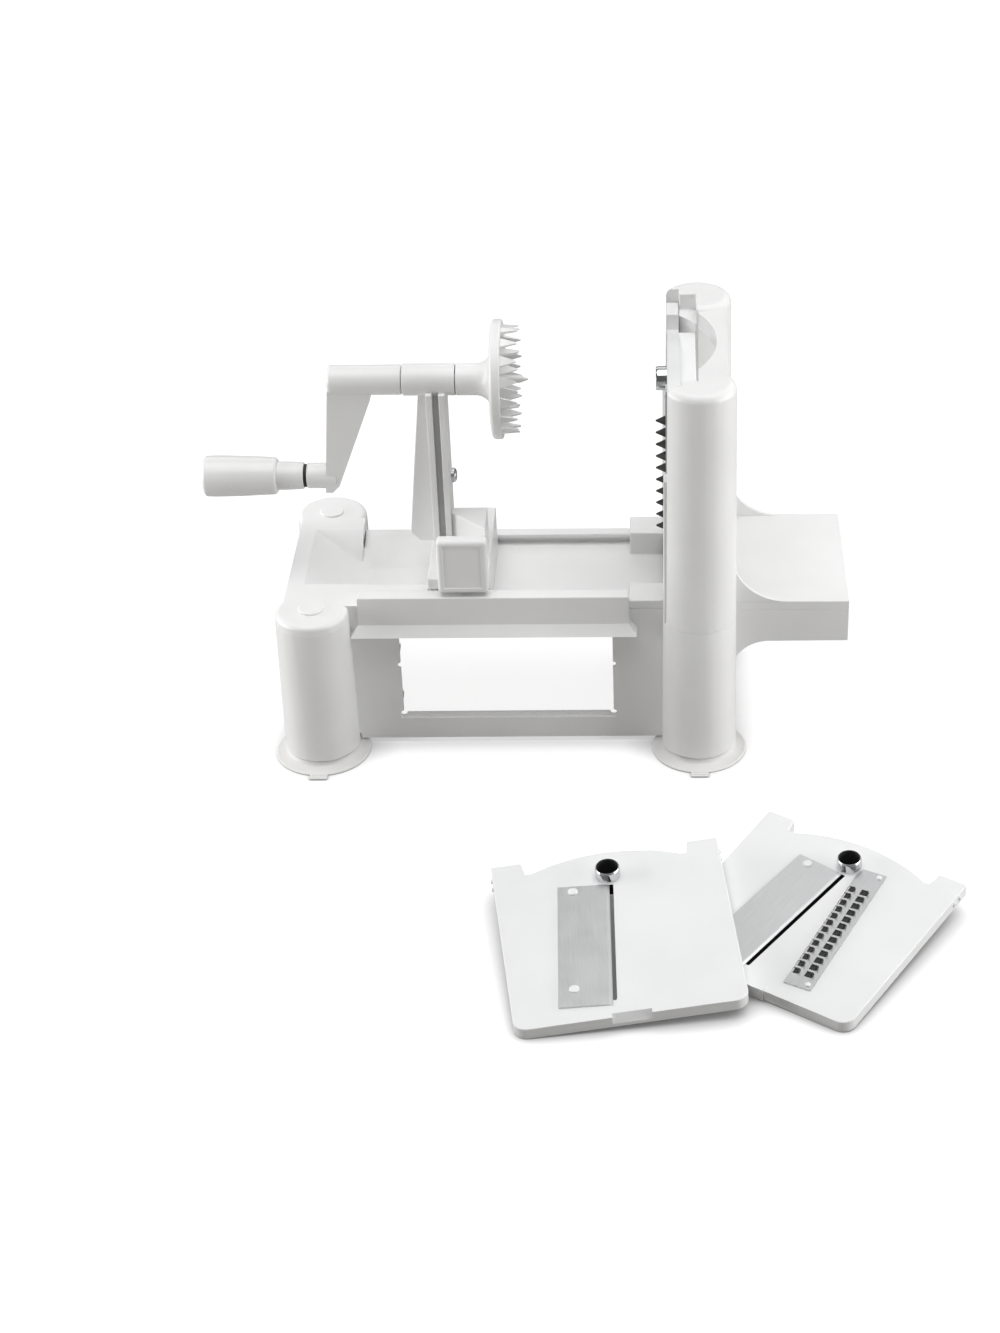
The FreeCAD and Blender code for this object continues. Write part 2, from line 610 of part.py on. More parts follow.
def post_cap(side):
    """Low round plug in the top of a short post."""
    y = side * COLUMN_Y
    head = post(POST_X, y, CAP_R, DECK_TOP_Z, DECK_TOP_Z + CAP_RISE)
    head = round_edges(head, CAP_RISE / 2, level_circle(DECK_TOP_Z + CAP_RISE))
    stem = post(POST_X, y, CAP_STEM_R, DECK_TOP_Z - CAP_STEM, DECK_TOP_Z)
    return join([head, stem])


def suction_foot(x, y):
    """Rubber suction cup with a stem snapped into the column's floor, and a pull tab."""
    top = COLUMN_BOTTOM_Z - FOOT_GAP
    outline = [(0, FOOT_CUP), (FOOT_BODY_R / 2, FOOT_CUP - FOOT_DRAFT), (FOOT_BODY_R, FOOT_CUP / 2),
               (FOOT_RIM_R - FOOT_LAND, 0), (FOOT_RIM_R, 0), (FOOT_RIM_R, TAB_Z1),
               (FOOT_BODY_R + FOOT_DRAFT, FOOT_CUP - FOOT_DRAFT), (FOOT_BODY_R, top), (0, top)]
    cup = revolve_z(outline, x, y)
    waist = post(x, y, FOOT_BODY_R - COLUMN_WALL, top, FOOT_FLOOR_Z - FOOT_GAP)
    head_z = FOOT_FLOOR_Z + FOOT_FLOOR_T + FOOT_GAP
    stem = post(x, y, FOOT_STEM_R, FOOT_FLOOR_Z - FOOT_GAP, head_z)
    head = taper(x, y, FOOT_HEAD_R, FOOT_STEM_R / 2, head_z, head_z + FOOT_HEAD_H)
    outward = math.copysign(1, y)
    tab_ends = (y + outward * (FOOT_RIM_R - FOOT_LAND / 2), y + outward * (FOOT_RIM_R + TAB_OUT))
    tab_y0, tab_y1 = min(tab_ends), max(tab_ends)
    tab = box(x - TAB_HALF, x + TAB_HALF, tab_y0, tab_y1, TAB_Z0, TAB_Z1)
    return join([cup, waist, stem, head, tab])


def frame_screws():
    solids = []
    head_top = SEAM_Z - COLUMN_WALL
    for x, y in screw_places():
        reach = TOWER_SCREW_REACH if x > 0 else POST_SCREW_REACH
        shank = post(x, y, SCREW_R, head_top, SEAM_Z + reach)
        head = post(x, y, SCREW_HEAD_R, head_top - SCREW_HEAD_H, head_top)
        solids.append(join([head, shank]))
    return Part.makeCompound(solids)


# ---------------------------------------------------------------- carriage
def carriage_sled():
    floor_z = CHANNEL_FLOOR_Z + SLIDE_GAP
    half = CHANNEL_HALF - SLIDE_GAP
    reach = half + GROOVE_DEPTH
    sled = box(SLED_X0, SLED_X1, -half, half, floor_z, SLED_TOP_Z)
    tongues = box(SLED_X0, SLED_X1, -reach, reach, floor_z, CHANNEL_FLOOR_Z + GROOVE_H - SLIDE_GAP)
    body_half = CHANNEL_HALF - BODY_SIDE
    body = box(SLED_X0, SLED_X1, -body_half, body_half, SLED_TOP_Z, BODY_TOP_Z)
    shelf_z = FRONT_RAIL_TOP_Z + SHELF_CLEAR
    shelf = box(SLED_X0, SLED_X1, RAIL_FRONT_Y + PUSH_T, 0, shelf_z, BODY_TOP_Z)
    solid = join([sled, tongues, body, shelf])
    back_y = RAIL_FRONT_Y + PUSH_T
    pin = rod_y(push_middle_x(), push_middle_z(), PUSH_PIN_R, back_y, back_y + PUSH_PIN_L + FOOT_GAP)
    hollow = box(SLED_X0 + WALL, SLED_X1 - WALL, WALL - body_half, body_half - WALL, floor_z,
                 BODY_TOP_Z - 2 * WALL)
    return solid.cut([pin, hollow])


def carriage_gusset():
    """Wedge that braces the upright, with a slanted front face."""
    wedge = [(FLANGE_RIGHT_X, -GUSSET_NEAR_Y), (GUSSET_X1, -GUSSET_FAR_Y),
             (GUSSET_X1, -GUSSET_BACK_Y), (FLANGE_RIGHT_X, -GUSSET_BACK_Y)]
    return prism_xy(wedge, BODY_TOP_Z, GUSSET_TOP_Z)


def push_middle_x():
    return (PUSH_X0 + PUSH_X1) / 2


def push_middle_z():
    """Height of the push handle's fixing pin, in the middle of the shelf."""
    return (FRONT_RAIL_TOP_Z + SHELF_CLEAR + BODY_TOP_Z) / 2


def push_handle():
    """Square block on the front of the carriage, with a shallow dished face."""
    block = box(PUSH_X0, PUSH_X1, RAIL_FRONT_Y, RAIL_FRONT_Y + PUSH_T, PUSH_BOTTOM_Z, PUSH_TOP_Z)
    block = block.makeFillet(PUSH_ROUND, block.Edges)
    dish = box(PUSH_X0 + PUSH_RIM, PUSH_X1 - PUSH_RIM, RAIL_FRONT_Y - PAST, RAIL_FRONT_Y + PUSH_RECESS,
               PUSH_BOTTOM_Z + PUSH_RIM, PUSH_TOP_Z - PUSH_RIM)
    back_y = RAIL_FRONT_Y + PUSH_T
    pin = rod_y(push_middle_x(), push_middle_z(), PUSH_PIN_R, back_y - PAST, back_y + PUSH_PIN_L)
    return join([block.cut(dish), pin])


def carriage_upright():
    """Ribbed upright with the bearing tube for the spindle on top."""
    top = AXIS_Z - TUBE_R / 2
    web_points = [(FLANGE_RIGHT_X, BODY_TOP_Z), (FLANGE_RIGHT_X, top), (WEB_HEAD_X, top),
                  (WEB_FOOT_X, WEB_FOOT_Z), (WEB_FOOT_X + WEB_FOOT_Z - BODY_TOP_Z, BODY_TOP_Z)]
    web = prism_xz(web_points, -WEB_T / 2, WEB_T / 2)
    flanges = []
    for x in (FLANGE_LEFT_X, FLANGE_RIGHT_X - FLANGE_T):
        flanges.append(box(x, x + FLANGE_T, -FLANGE_HALF, FLANGE_HALF, BODY_TOP_Z, top))
    tube = rod(TUBE_X0, TUBE_X1, TUBE_R)
    solid = join([web, tube] + flanges)
    bore = rod(TUBE_X0 - PAST, TUBE_X1 + PAST, SPINDLE_R + RUNNING_GAP)
    screw_hole = rod(FLANGE_RIGHT_X - FLANGE_T - PAST, FLANGE_RIGHT_X + PAST, UPRIGHT_SCREW_R,
                     UPRIGHT_SCREW_Y, UPRIGHT_SCREW_Z)
    return solid.cut([bore, screw_hole])


def upright_screw():
    """Round headed screw on the upright's right face."""
    shank = rod(FLANGE_RIGHT_X - FLANGE_T, FLANGE_RIGHT_X, UPRIGHT_SCREW_R, UPRIGHT_SCREW_Y, UPRIGHT_SCREW_Z)
    top_x = FLANGE_RIGHT_X + UPRIGHT_SCREW_HEAD_H
    profile = [(FLANGE_RIGHT_X, 0), (FLANGE_RIGHT_X, UPRIGHT_SCREW_HEAD_R),
               (FLANGE_RIGHT_X + UPRIGHT_SCREW_HEAD_H / 2, UPRIGHT_SCREW_HEAD_R - 0.4),
               (top_x, UPRIGHT_SCREW_HEAD_R / 2), (top_x, 0)]
    head = revolve_x(profile, UPRIGHT_SCREW_Z)
    head.translate(V(0, UPRIGHT_SCREW_Y, 0))
    return join([head, shank])


# ---------------------------------------------------------------- crank
def crank_arm():
    """Arm with the hub for the spindle at its head and the stub for the grip at its foot."""
    head_z = AXIS_Z - HUB_R / 2
    foot_z = GRIP_Z - STUB_R - ARM_UNDER
    arm_points = [(HUB_X0, head_z), (ARM_HEAD_X, head_z), (ARM_HEAD_X, AXIS_Z - HUB_R - ARM_DROP),
                  (ARM_FOOT_X, foot_z + ARM_TOE), (ARM_FOOT_X - ARM_TOE, foot_z), (ARM_FOOT_X0, foot_z)]
    arm = prism_xz(arm_points, -ARM_HALF, ARM_HALF)
    hub = rod(HUB_X0, TUBE_X0 - END_PLAY, HUB_R)
    hub = hub.makeFillet(HUB_ROUND, [e for e in hub.Edges if abs(e.BoundBox.XMax - HUB_X0) < 1e-6])
    stub = rod(STUB_X0, ARM_FOOT_X - ARM_TOE / 2, STUB_R, 0, GRIP_Z)
    solid = join([arm, hub, stub])
    counterbore = rod(HUB_X0 - PAST, HUB_X0 + HUB_BORE, HUB_BORE_R)
    socket = rod(HUB_X0 + HUB_BORE + WALL, TUBE_X0, SPINDLE_R)
    screw_hole = rod(HUB_X0, HUB_X0 + HUB_BORE + WALL + PAST, HUB_SCREW_R)
    pin_hole = rod(STUB_X0 - PAST, STUB_X0 + PIN_SEAT, PIN_R, 0, GRIP_Z)
    return solid.cut([counterbore, socket, screw_hole, pin_hole])


def hub_cap():
    return rod(HUB_X0, HUB_X0 + HUB_CAP, HUB_BORE_R)


def hub_screw():
    """Screw that holds the crank arm on the spindle."""
    seat = HUB_X0 + HUB_BORE
    head = rod(seat - SCREW_HEAD_H, seat, HUB_BORE_R - 0.4)
    shank = rod(seat, seat + HUB_SCREW, HUB_SCREW_R)
    return join([head, shank])


def spindle():
    start = HUB_X0 + HUB_BORE + WALL
    shaft = rod(start, DISC_BACK_X, SPINDLE_R)
    hole = rod(start - PAST, HUB_X0 + HUB_BORE + HUB_SCREW + SCREW_END, HUB_SCREW_R)
    return shaft.cut(hole)


def spiked_disc():
    """Disc with two rings of prongs and a centre pin, on a hub that flares towards the disc."""
    profile = [(TUBE_X1 + END_PLAY, 0), (TUBE_X1 + END_PLAY, DISC_HUB_R), (DISC_HUB_X1, DISC_HUB_R),
               (DISC_BACK_X, DISC_FLARE_R), (DISC_BACK_X, DISC_R), (DISC_FACE_X, DISC_R),
               (DISC_FACE_X, DISC_R - DISC_RIM), (DISC_FACE_X - DISC_DISH, DISC_R - DISC_RIM),
               (DISC_FACE_X - DISC_DISH, 0)]
    body = revolve_x(profile)
    shoulder_x = DISC_FACE_X + CENTRE_PIN_L - CENTRE_PIN_TIP
    pin = rod(DISC_FACE_X - DISC_DISH - PRONG_ROOT, shoulder_x, CENTRE_PIN_R)
    tip = Part.makeCone(CENTRE_PIN_R, PRONG_TIP, CENTRE_PIN_TIP, V(shoulder_x, 0, AXIS_Z), V(1, 0, 0))
    solids = [body, pin, tip]
    for radius, count in PRONG_RINGS:
        for step in range(count):
            prong = prong_at(radius)
            prong.rotate(V(0, 0, AXIS_Z), V(1, 0, 0), 360.0 * step / count)
            solids.append(prong)
    socket = rod(TUBE_X1, DISC_BACK_X, SPINDLE_R)
    return join(solids).cut(socket)


def prong_at(radius):
    """Triangular prong above the axis."""
    foot_x = DISC_FACE_X - DISC_DISH - PRONG_ROOT
    z0 = AXIS_Z + radius - PRONG_T / 2
    end_x = DISC_FACE_X + PRONG_L
    points = [V(foot_x, -PRONG_W / 2, z0), V(foot_x, PRONG_W / 2, z0),
              V(end_x, PRONG_TIP, z0), V(end_x, -PRONG_TIP, z0)]
    return prism(points, V(0, 0, PRONG_T))


def grip_pin():
    """Axle of the grip, fixed in the crank's stub, with a head inside the grip."""
    head_x0 = GRIP_X0 + GRIP_END_CAP + END_PLAY
    head = rod(head_x0, head_x0 + PIN_HEAD_T, PIN_HEAD_R, 0, GRIP_Z)
    shaft = rod(head_x0 + PIN_HEAD_T, STUB_X0 + PIN_SEAT, PIN_R, 0, GRIP_Z)
    return join([head, shaft])


def grip_sleeve():
    profile = [(GRIP_X0, 0), (GRIP_X0, GRIP_R0 - GRIP_ROUND), (GRIP_X0 + GRIP_ROUND, GRIP_R0),
               (GRIP_X1 - GRIP_ROUND, GRIP_R1), (GRIP_X1, GRIP_R1 - GRIP_ROUND), (GRIP_X1, 0)]
    sleeve = revolve_x(profile, GRIP_Z)
    bore = rod(GRIP_X0, GRIP_X1 + PAST, PIN_R + RUNNING_GAP, 0, GRIP_Z)
    head_room = GRIP_END_CAP + PIN_HEAD_T + 2 * END_PLAY
    counterbore = rod(GRIP_X0 - PAST, GRIP_X0 + head_room, GRIP_BORE_R, 0, GRIP_Z)
    return sleeve.cut([bore, counterbore])


def grip_collar():
    collar = rod(GRIP_X1, COLLAR_X1, COLLAR_R, 0, GRIP_Z)
    return collar.cut(rod(GRIP_X1 - PAST, COLLAR_X1 + PAST, PIN_R + RUNNING_GAP, 0, GRIP_Z))


def grip_end_cap():
    return rod(GRIP_X0, GRIP_X0 + GRIP_END_CAP, GRIP_BORE_R, 0, GRIP_Z)


# ---------------------------------------------------------------- blade plates
# A plate is drawn lying face up: x across, y up its height, z through its thickness.
def plate_body(cuts):
    lower, upper = PLATE_HALF, PLATE_TOP_HALF
    notch = PLATE_H - NOTCH_DIP
    ear_in = PLATE_TOP_HALF - EAR_W
    outline = [(-lower, 0), (lower, 0), (upper, PLATE_H), (ear_in, PLATE_H),
               (ear_in - NOTCH_IN, notch), (ear_in - NOTCH_OUT, notch)]
    right = [V(x, y, 0) for x, y in outline]
    left_start = V(NOTCH_OUT - ear_in, notch, 0)
    arch = Part.Arc(right[-1], V(0, PLATE_H, 0), left_start).toShape()
    lines = [Part.makeLine(a, b) for a, b in zip(right, right[1:])]
    rest = [left_start, V(NOTCH_IN - ear_in, notch, 0), V(-ear_in, PLATE_H, 0),
            V(-upper, PLATE_H, 0), right[0]]
    lines += [arch] + [Part.makeLine(a, b) for a, b in zip(rest, rest[1:])]
    solid = Part.Face(Part.Wire(lines)).extrude(V(0, 0, PLATE_T))
    corner = [e for e in solid.Edges if e.BoundBox.YMax < 1e-6 and e.BoundBox.XLength < 1e-6]
    solid = solid.makeFillet(PLATE_CORNER, corner)
    extras = [plate_lip(), latch_tab()]
    for side in (-1, 1):
        for drop in DETENT_DROP:
            v = PLATE_H - drop
            edge = PLATE_HALF + (PLATE_TOP_HALF - PLATE_HALF) * v / PLATE_H
            x0, x1 = sorted((side * (edge - DETENT_R), side * (edge + DETENT_PROUD)))
            extras.append(Part.makeCylinder(DETENT_R, x1 - x0, V(x0, v, PLATE_T / 2), V(1, 0, 0)))
    solid = join([solid] + extras)
    bore = Part.makeCylinder(RING_R, PLATE_T + 2 * PAST, V(0, RING_V, -PAST))
    return solid.cut([bore] + cuts)


def plate_lip():
    """Lip behind the arched top, which the user lifts the plate by."""
    y0 = PLATE_H - NOTCH_DIP
    return box(-LIP_HALF, LIP_HALF, y0 - LIP_T / 2, y0 + LIP_T / 2, -FLANGE_DEPTH, PLATE_T / 2)


def latch_tab():
    return box(-LATCH_W / 2, LATCH_W / 2, -LATCH_OUT, PAST, PLATE_T - LATCH_T, PLATE_T)


def leaned(shape, degrees):
    """Turns a blade or strip about the coring ring."""
    shape.rotate(V(0, RING_V, 0), V(0, 0, 1), -degrees)
    return shape


def blade_slot():
    """Opening along the cutting edge, where the slices pass through."""
    y1 = RING_V - RING_R - RING_WALL
    slot = box(-SLOT_UNDER, SLOT_W - SLOT_UNDER, BLADE_FOOT + BLADE_END, y1, -PAST, PLATE_T + PAST)
    return leaned(slot, BLADE_LEAN)


def straight_blade():
    blade = box(-BLADE_W, BLADE_EDGE, BLADE_FOOT, RING_V, PLATE_T, PLATE_T + BLADE_T)
    return leaned(blade, BLADE_LEAN).cut(ring_room())


def ring_room():
    """Clearance that the steel parts leave around the coring ring."""
    return Part.makeCylinder(RING_R + RING_ROOM, PLATE_T + RING_PROUD + 2 * PAST, V(0, RING_V, -PAST))


def coring_ring():
    """Short tube on the spindle line that leaves the core of the food whole."""
    outer = Part.makeCylinder(RING_R, PLATE_T + RING_PROUD, V(0, RING_V, 0))
    inner = Part.makeCylinder(RING_R - RING_WALL, PLATE_T + RING_PROUD + 2 * PAST, V(0, RING_V, -PAST))
    return outer.cut(inner)


def blade_rivets():
    """Two rivets, near the top and the bottom of a blade."""
    solids = []
    for y in (RING_V - RIVET_END, BLADE_FOOT + RIVET_END):
        head = Part.makeCylinder(RIVET_R, RIVET_H, V(RIVET_IN - BLADE_W, y, PLATE_T + BLADE_T))
        solids.append(leaned(head, BLADE_LEAN))
    return Part.makeCompound(solids)


def strip_slot(x_teeth, width):
    """Opening beside a row of teeth, through the strip and the plate."""
    slot = box(x_teeth - width, x_teeth, STRIP_Y0 + STRIP_END, STRIP_Y1, -PAST, PLATE_T + RING_PROUD)
    return leaned(slot, STRIP_LEAN)


def strip_base():
    base = box(STRIP_X0, STRIP_X0 + STRIP_W, STRIP_Y0, RING_V, PLATE_T, PLATE_T + BLADE_T)
    return leaned(base, STRIP_LEAN)


def tooth_row(x_teeth, pitch, width, thick, height):
    """Row of upright teeth along the edge of a slot."""
    teeth = []
    y = STRIP_Y0 + STRIP_END + STRIP_MARGIN
    while y + width < STRIP_Y1:
        teeth.append(leaned(tooth(x_teeth, y, width, thick, height), STRIP_LEAN))
        y += pitch
    return teeth


def shredder_strip():
    """Steel strip with two rows of fine upright teeth."""
    teeth = []
    for x in FINE_ROWS:
        teeth += tooth_row(x, 2 * STRIP_TOOTH, STRIP_TOOTH, BLADE_T, STRIP_TOOTH)
    return join([strip_base().cut(shredder_slots())] + teeth).cut(ring_room())


def shredder_slots():
    return [strip_slot(x, FINE_SLOT) for x in FINE_ROWS]


def tooth(x, y, width, thick, height):
    """Upright triangular tooth on a steel strip."""
    z0 = PLATE_T + BLADE_T / 2
    points = [V(x, y, z0), V(x, y + width, z0), V(x, y + width / 2, PLATE_T + BLADE_T + height)]
    return prism(points, V(thick, 0, 0))


def chipper_strip():
    """Steel strip with one row of coarse teeth for thick strands."""
    teeth = tooth_row(COARSE_ROW, CHIP_TOOTH_W + CHIP_GAP, CHIP_TOOTH_W, CHIP_TOOTH_T, CHIP_TOOTH_H)
    return join([strip_base().cut(chipper_slot())] + teeth).cut(ring_room())


def chipper_slot():
    return strip_slot(COARSE_ROW, COARSE_SLOT)


def strip_rivets():
    solids = []
    for y in (RING_V - STRIP_END / 2, STRIP_Y0 + STRIP_END / 2):
        x = STRIP_X0 + STRIP_W - STRIP_END / 2
        head = Part.makeCylinder(STRIP_RIVET_R, RIVET_H, V(x, y, PLATE_T + BLADE_T))
        solids.append(leaned(head, STRIP_LEAN))
    return Part.makeCompound(solids)


def mounted(shape):
    """Stands a plate piece in the machine, cutting face towards the spiked disc."""
    matrix = FreeCAD.Matrix(0, 0, -1, PLATE_X0 + PLATE_T,
                            -1, 0, 0, 0,
                            0, 1, 0, PLATE_Z0,
                            0, 0, 0, 1)
    moved = shape.copy()
    moved.Placement = FreeCAD.Placement(matrix).multiply(moved.Placement)
    return moved


def lying(shape, at, turn, roll, lift):
    """Lays a plate piece on the table: tipped up on its lip, rolled, turned and moved."""
    tip = math.degrees(math.atan2(FLANGE_DEPTH, PLATE_H - NOTCH_DIP))
    step = FreeCAD.Placement(V(0, 0, 0), FreeCAD.Rotation(V(1, 0, 0), tip))
    step = FreeCAD.Placement(V(0, 0, 0), FreeCAD.Rotation(V(0, 1, 0), -roll)).multiply(step)
    step = FreeCAD.Placement(V(0, 0, 0), FreeCAD.Rotation(V(0, 0, 1), turn)).multiply(step)
    step = FreeCAD.Placement(V(at[0], at[1], lift), FreeCAD.Rotation()).multiply(step)
    moved = shape.copy()
    moved.Placement = step.multiply(moved.Placement)
    return moved


# ---------------------------------------------------------------- build
def base_nodes():
    nodes = {
        "lower_frame": lower_frame(),
        "deck": deck(),
        "blade_tower": blade_tower(),
        "tray_shell": tray_shell(),
        "tray_top": tray_top(),
        "near_post_cap": post_cap(-1),
        "rear_post_cap": post_cap(1),
        "frame_screws": frame_screws(),
    }
    names = ("near_left_foot", "rear_left_foot", "near_right_foot", "rear_right_foot")
    for name, (x, y) in zip(names, column_places()):
        nodes[name] = suction_foot(x, y)
    return nodes


def carriage_nodes():
    return {
        "carriage_sled": carriage_sled(),
        "carriage_gusset": carriage_gusset(),
        "push_handle": push_handle(),
        "carriage_upright": carriage_upright(),
        "upright_screw": upright_screw(),
    }


def crank_nodes():
    return {
        "crank_arm": crank_arm(),
        "hub_cap": hub_cap(),
        "hub_screw": hub_screw(),
        "spindle": spindle(),
        "spiked_disc": spiked_disc(),
        "grip_pin": grip_pin(),
        "grip_sleeve": grip_sleeve(),
        "grip_collar": grip_collar(),
        "grip_end_cap": grip_end_cap(),
    }


def cutter(name, slots):
    """Plate, straight blade, coring ring and rivets that every cutter has, lying face up."""
    return {
        name + "_plate": plate_body([blade_slot()] + slots),
        name + "_blade": straight_blade(),
        name + "_coring_ring": coring_ring(),
        name + "_rivets": blade_rivets(),
    }


def laid_out(pieces, plate, at, turn, roll):
    """Lays a whole cutter on the table, with the plate's lowest point on it."""
    lift = -lying(pieces[plate], at, turn, roll, 0).BoundBox.ZMin
    return {name: lying(shape, at, turn, roll, lift) for name, shape in pieces.items()}


def plate_nodes():
    chipper = cutter("chipper", [chipper_slot()])
    chipper["chipper_strip"] = chipper_strip()
    chipper["chipper_strip_rivets"] = strip_rivets()
    nodes = {name: mounted(shape) for name, shape in chipper.items()}
    slicer = cutter("slicer", [])
    nodes.update(laid_out(slicer, "slicer_plate", SPARE_A_AT, SPARE_A_TURN, SPARE_A_ROLL))
    shredder = cutter("shredder", shredder_slots())
    shredder["shredder_strip"] = shredder_strip()
    shredder["shredder_strip_rivets"] = strip_rivets()
    nodes.update(laid_out(shredder, "shredder_plate", SPARE_B_AT, SPARE_B_TURN, 0.0))
    return nodes


def all_nodes():
    nodes = {}
    for group in (base_nodes(), carriage_nodes(), crank_nodes(), plate_nodes()):
        nodes.update(group)
    return nodes


def to_middle(shapes):
    """Sideways move that brings the middle of the whole part's box over the origin."""
    middle = Part.makeCompound(shapes).optimalBoundingBox(False, False).Center
    return V(-middle.x, -middle.y, 0)


os.makedirs("parts", exist_ok=True)
finished = all_nodes()
move = to_middle(list(finished.values()))
for node, solid in finished.items():
    solid.translated(move).exportStep("parts/" + node + ".step")
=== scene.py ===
"""Looks of a hand cranked spiralizer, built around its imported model. Metres, in the model's own axes.

Sizes are given in millimetres along the machine's own axes: x from the spindle's datum towards the blade
plate, y from the spindle axis away from the user, z up from the table. place() brings them into the scene.
"""

import math

import bmesh
import bpy
from mathutils import Matrix, Vector
from mathutils.bvhtree import BVHTree
from mathutils.geometry import intersect_line_line_2d
from mathutils.kdtree import KDTree


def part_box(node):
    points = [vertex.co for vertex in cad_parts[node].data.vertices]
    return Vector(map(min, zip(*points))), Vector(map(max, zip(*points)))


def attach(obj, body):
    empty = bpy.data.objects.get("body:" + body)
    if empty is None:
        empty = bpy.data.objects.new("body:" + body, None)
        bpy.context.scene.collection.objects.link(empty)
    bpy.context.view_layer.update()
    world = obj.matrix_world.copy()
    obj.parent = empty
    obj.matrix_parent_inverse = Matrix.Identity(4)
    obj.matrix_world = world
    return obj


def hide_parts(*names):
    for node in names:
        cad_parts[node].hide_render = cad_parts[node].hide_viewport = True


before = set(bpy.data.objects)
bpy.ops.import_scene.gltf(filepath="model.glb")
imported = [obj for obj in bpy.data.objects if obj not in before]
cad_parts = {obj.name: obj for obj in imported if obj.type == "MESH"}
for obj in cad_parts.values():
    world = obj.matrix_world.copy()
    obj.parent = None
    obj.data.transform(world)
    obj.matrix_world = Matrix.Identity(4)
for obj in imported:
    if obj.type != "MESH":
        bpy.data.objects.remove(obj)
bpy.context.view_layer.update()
scene = bpy.context.scene

MM = 0.001

# ---------------------------------------------------------------- places taken from the frame
TOWER_X = 108.5               # tall columns, from the spindle's datum
THROW = 59.5                  # spindle axis to grip axis


def middle(node):
    low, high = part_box(node)
    return (low + high) / 2


SPINDLE = middle("spindle")
DATUM = Vector((middle("near_right_foot").x - TOWER_X * MM, SPINDLE.y, 0))
AXIS_Z = SPINDLE.z / MM
GRIP_Z = AXIS_Z - THROW


def place(x, y, z):
    return DATUM + Vector((x, y, z)) * MM


# ---------------------------------------------------------------- materials
PLATE_UV = "plate"            # texture coordinates of a plate's pieces: across and up the plate, in metres
EVEN = (1.0, 1.0, 1.0)
UP_THE_PLATE = (1.0, 0.02, 1.0)
TINT_SPAN = (0.3, 0.7)        # part of the noise's range in which a colour drifts


def new_material(name, roughness, metallic=0.0):
    material = bpy.data.materials.new(name)
    material.use_nodes = True
    shader = material.node_tree.nodes["Principled BSDF"]
    shader.inputs["Roughness"].default_value = roughness
    shader.inputs["Metallic"].default_value = metallic
    return material, material.node_tree, shader


def noise(tree, size, detail):
    """Noise in the piece's own coordinates, with features of about that size in millimetres."""
    coordinates = tree.nodes.new("ShaderNodeTexCoord")
    return noise_at(tree, coordinates.outputs["Object"], size, detail, EVEN)


def brushing(tree, size, detail):
    """Long thin streaks up the height of a blade plate."""
    coordinates = tree.nodes.new("ShaderNodeUVMap")
    coordinates.uv_map = PLATE_UV
    return noise_at(tree, coordinates.outputs["UV"], size, detail, UP_THE_PLATE)


def noise_at(tree, vector, size, detail, stretch):
    mapping = tree.nodes.new("ShaderNodeMapping")
    mapping.inputs["Scale"].default_value = stretch
    texture = tree.nodes.new("ShaderNodeTexNoise")
    texture.inputs["Scale"].default_value = 1 / (size * MM)
    texture.inputs["Detail"].default_value = detail
    tree.links.new(vector, mapping.inputs["Vector"])
    tree.links.new(mapping.outputs["Vector"], texture.inputs["Vector"])
    return texture.outputs["Fac"]


def ranged(tree, value, to_low, to_high, from_low=0.0, from_high=1.0):
    """The value, brought from one range into another and kept inside it."""
    node = tree.nodes.new("ShaderNodeMapRange")
    node.inputs["From Min"].default_value = from_low
    node.inputs["From Max"].default_value = from_high
    node.inputs["To Min"].default_value = to_low
    node.inputs["To Max"].default_value = to_high
    tree.links.new(value, node.inputs["Value"])
    return node.outputs["Result"]


def tint(tree, shader, factor, low, high):
    """Colour that drifts between two shades with the factor."""
    ramp = tree.nodes.new("ShaderNodeValToRGB")
    for stop, position, colour in zip(ramp.color_ramp.elements, TINT_SPAN, (low, high)):
        stop.position = position
        stop.color = (*colour, 1)
    tree.links.new(factor, ramp.inputs["Fac"])
    tree.links.new(ramp.outputs["Color"], shader.inputs["Base Color"])


def vary_roughness(tree, shader, factor, low, high):
    tree.links.new(ranged(tree, factor, low, high), shader.inputs["Roughness"])


def bump(tree, shader, height, strength, depth):
    node = tree.nodes.new("ShaderNodeBump")
    node.inputs["Strength"].default_value = strength
    node.inputs["Distance"].default_value = depth * MM
    tree.links.new(height, node.inputs["Height"])
    tree.links.new(node.outputs["Normal"], shader.inputs["Normal"])


def moulded_plastic(name, low, high, roughness, grain):
    """Injection moulded plastic: a faint drift in the white, patchy gloss and a fine moulded grain."""
    material, tree, shader = new_material(name, roughness)
    tint(tree, shader, noise(tree, size=45, detail=3), low, high)
    vary_roughness(tree, shader, noise(tree, size=6, detail=4), roughness - 0.05, roughness + 0.07)
    bump(tree, shader, noise(tree, size=0.7, detail=2), strength=grain, depth=0.05)
    shader.inputs["Subsurface Weight"].default_value = 0.04
    shader.inputs["Subsurface Radius"].default_value = (0.002, 0.002, 0.0018)
    return material


def brushed_steel(name, low, high, roughness):
    """Rolled and brushed sheet steel of the blades."""
    material, tree, shader = new_material(name, roughness, metallic=1.0)
    streaks = brushing(tree, size=0.35, detail=6)
    tint(tree, shader, streaks, low, high)
    vary_roughness(tree, shader, noise(tree, size=9, detail=3), roughness - 0.06, roughness + 0.08)
    bump(tree, shader, streaks, strength=0.25, depth=0.03)
    return material


def polished_steel(name, low, high, roughness):
    """Smooth steel of the coring rings and the fasteners."""
    material, tree, shader = new_material(name, roughness, metallic=1.0)
    tint(tree, shader, noise(tree, size=3, detail=3), low, high)
    vary_roughness(tree, shader, noise(tree, size=1.2, detail=3), roughness, roughness + 0.08)
    bump(tree, shader, noise(tree, size=0.8, detail=2), strength=0.06, depth=0.02)
    return material


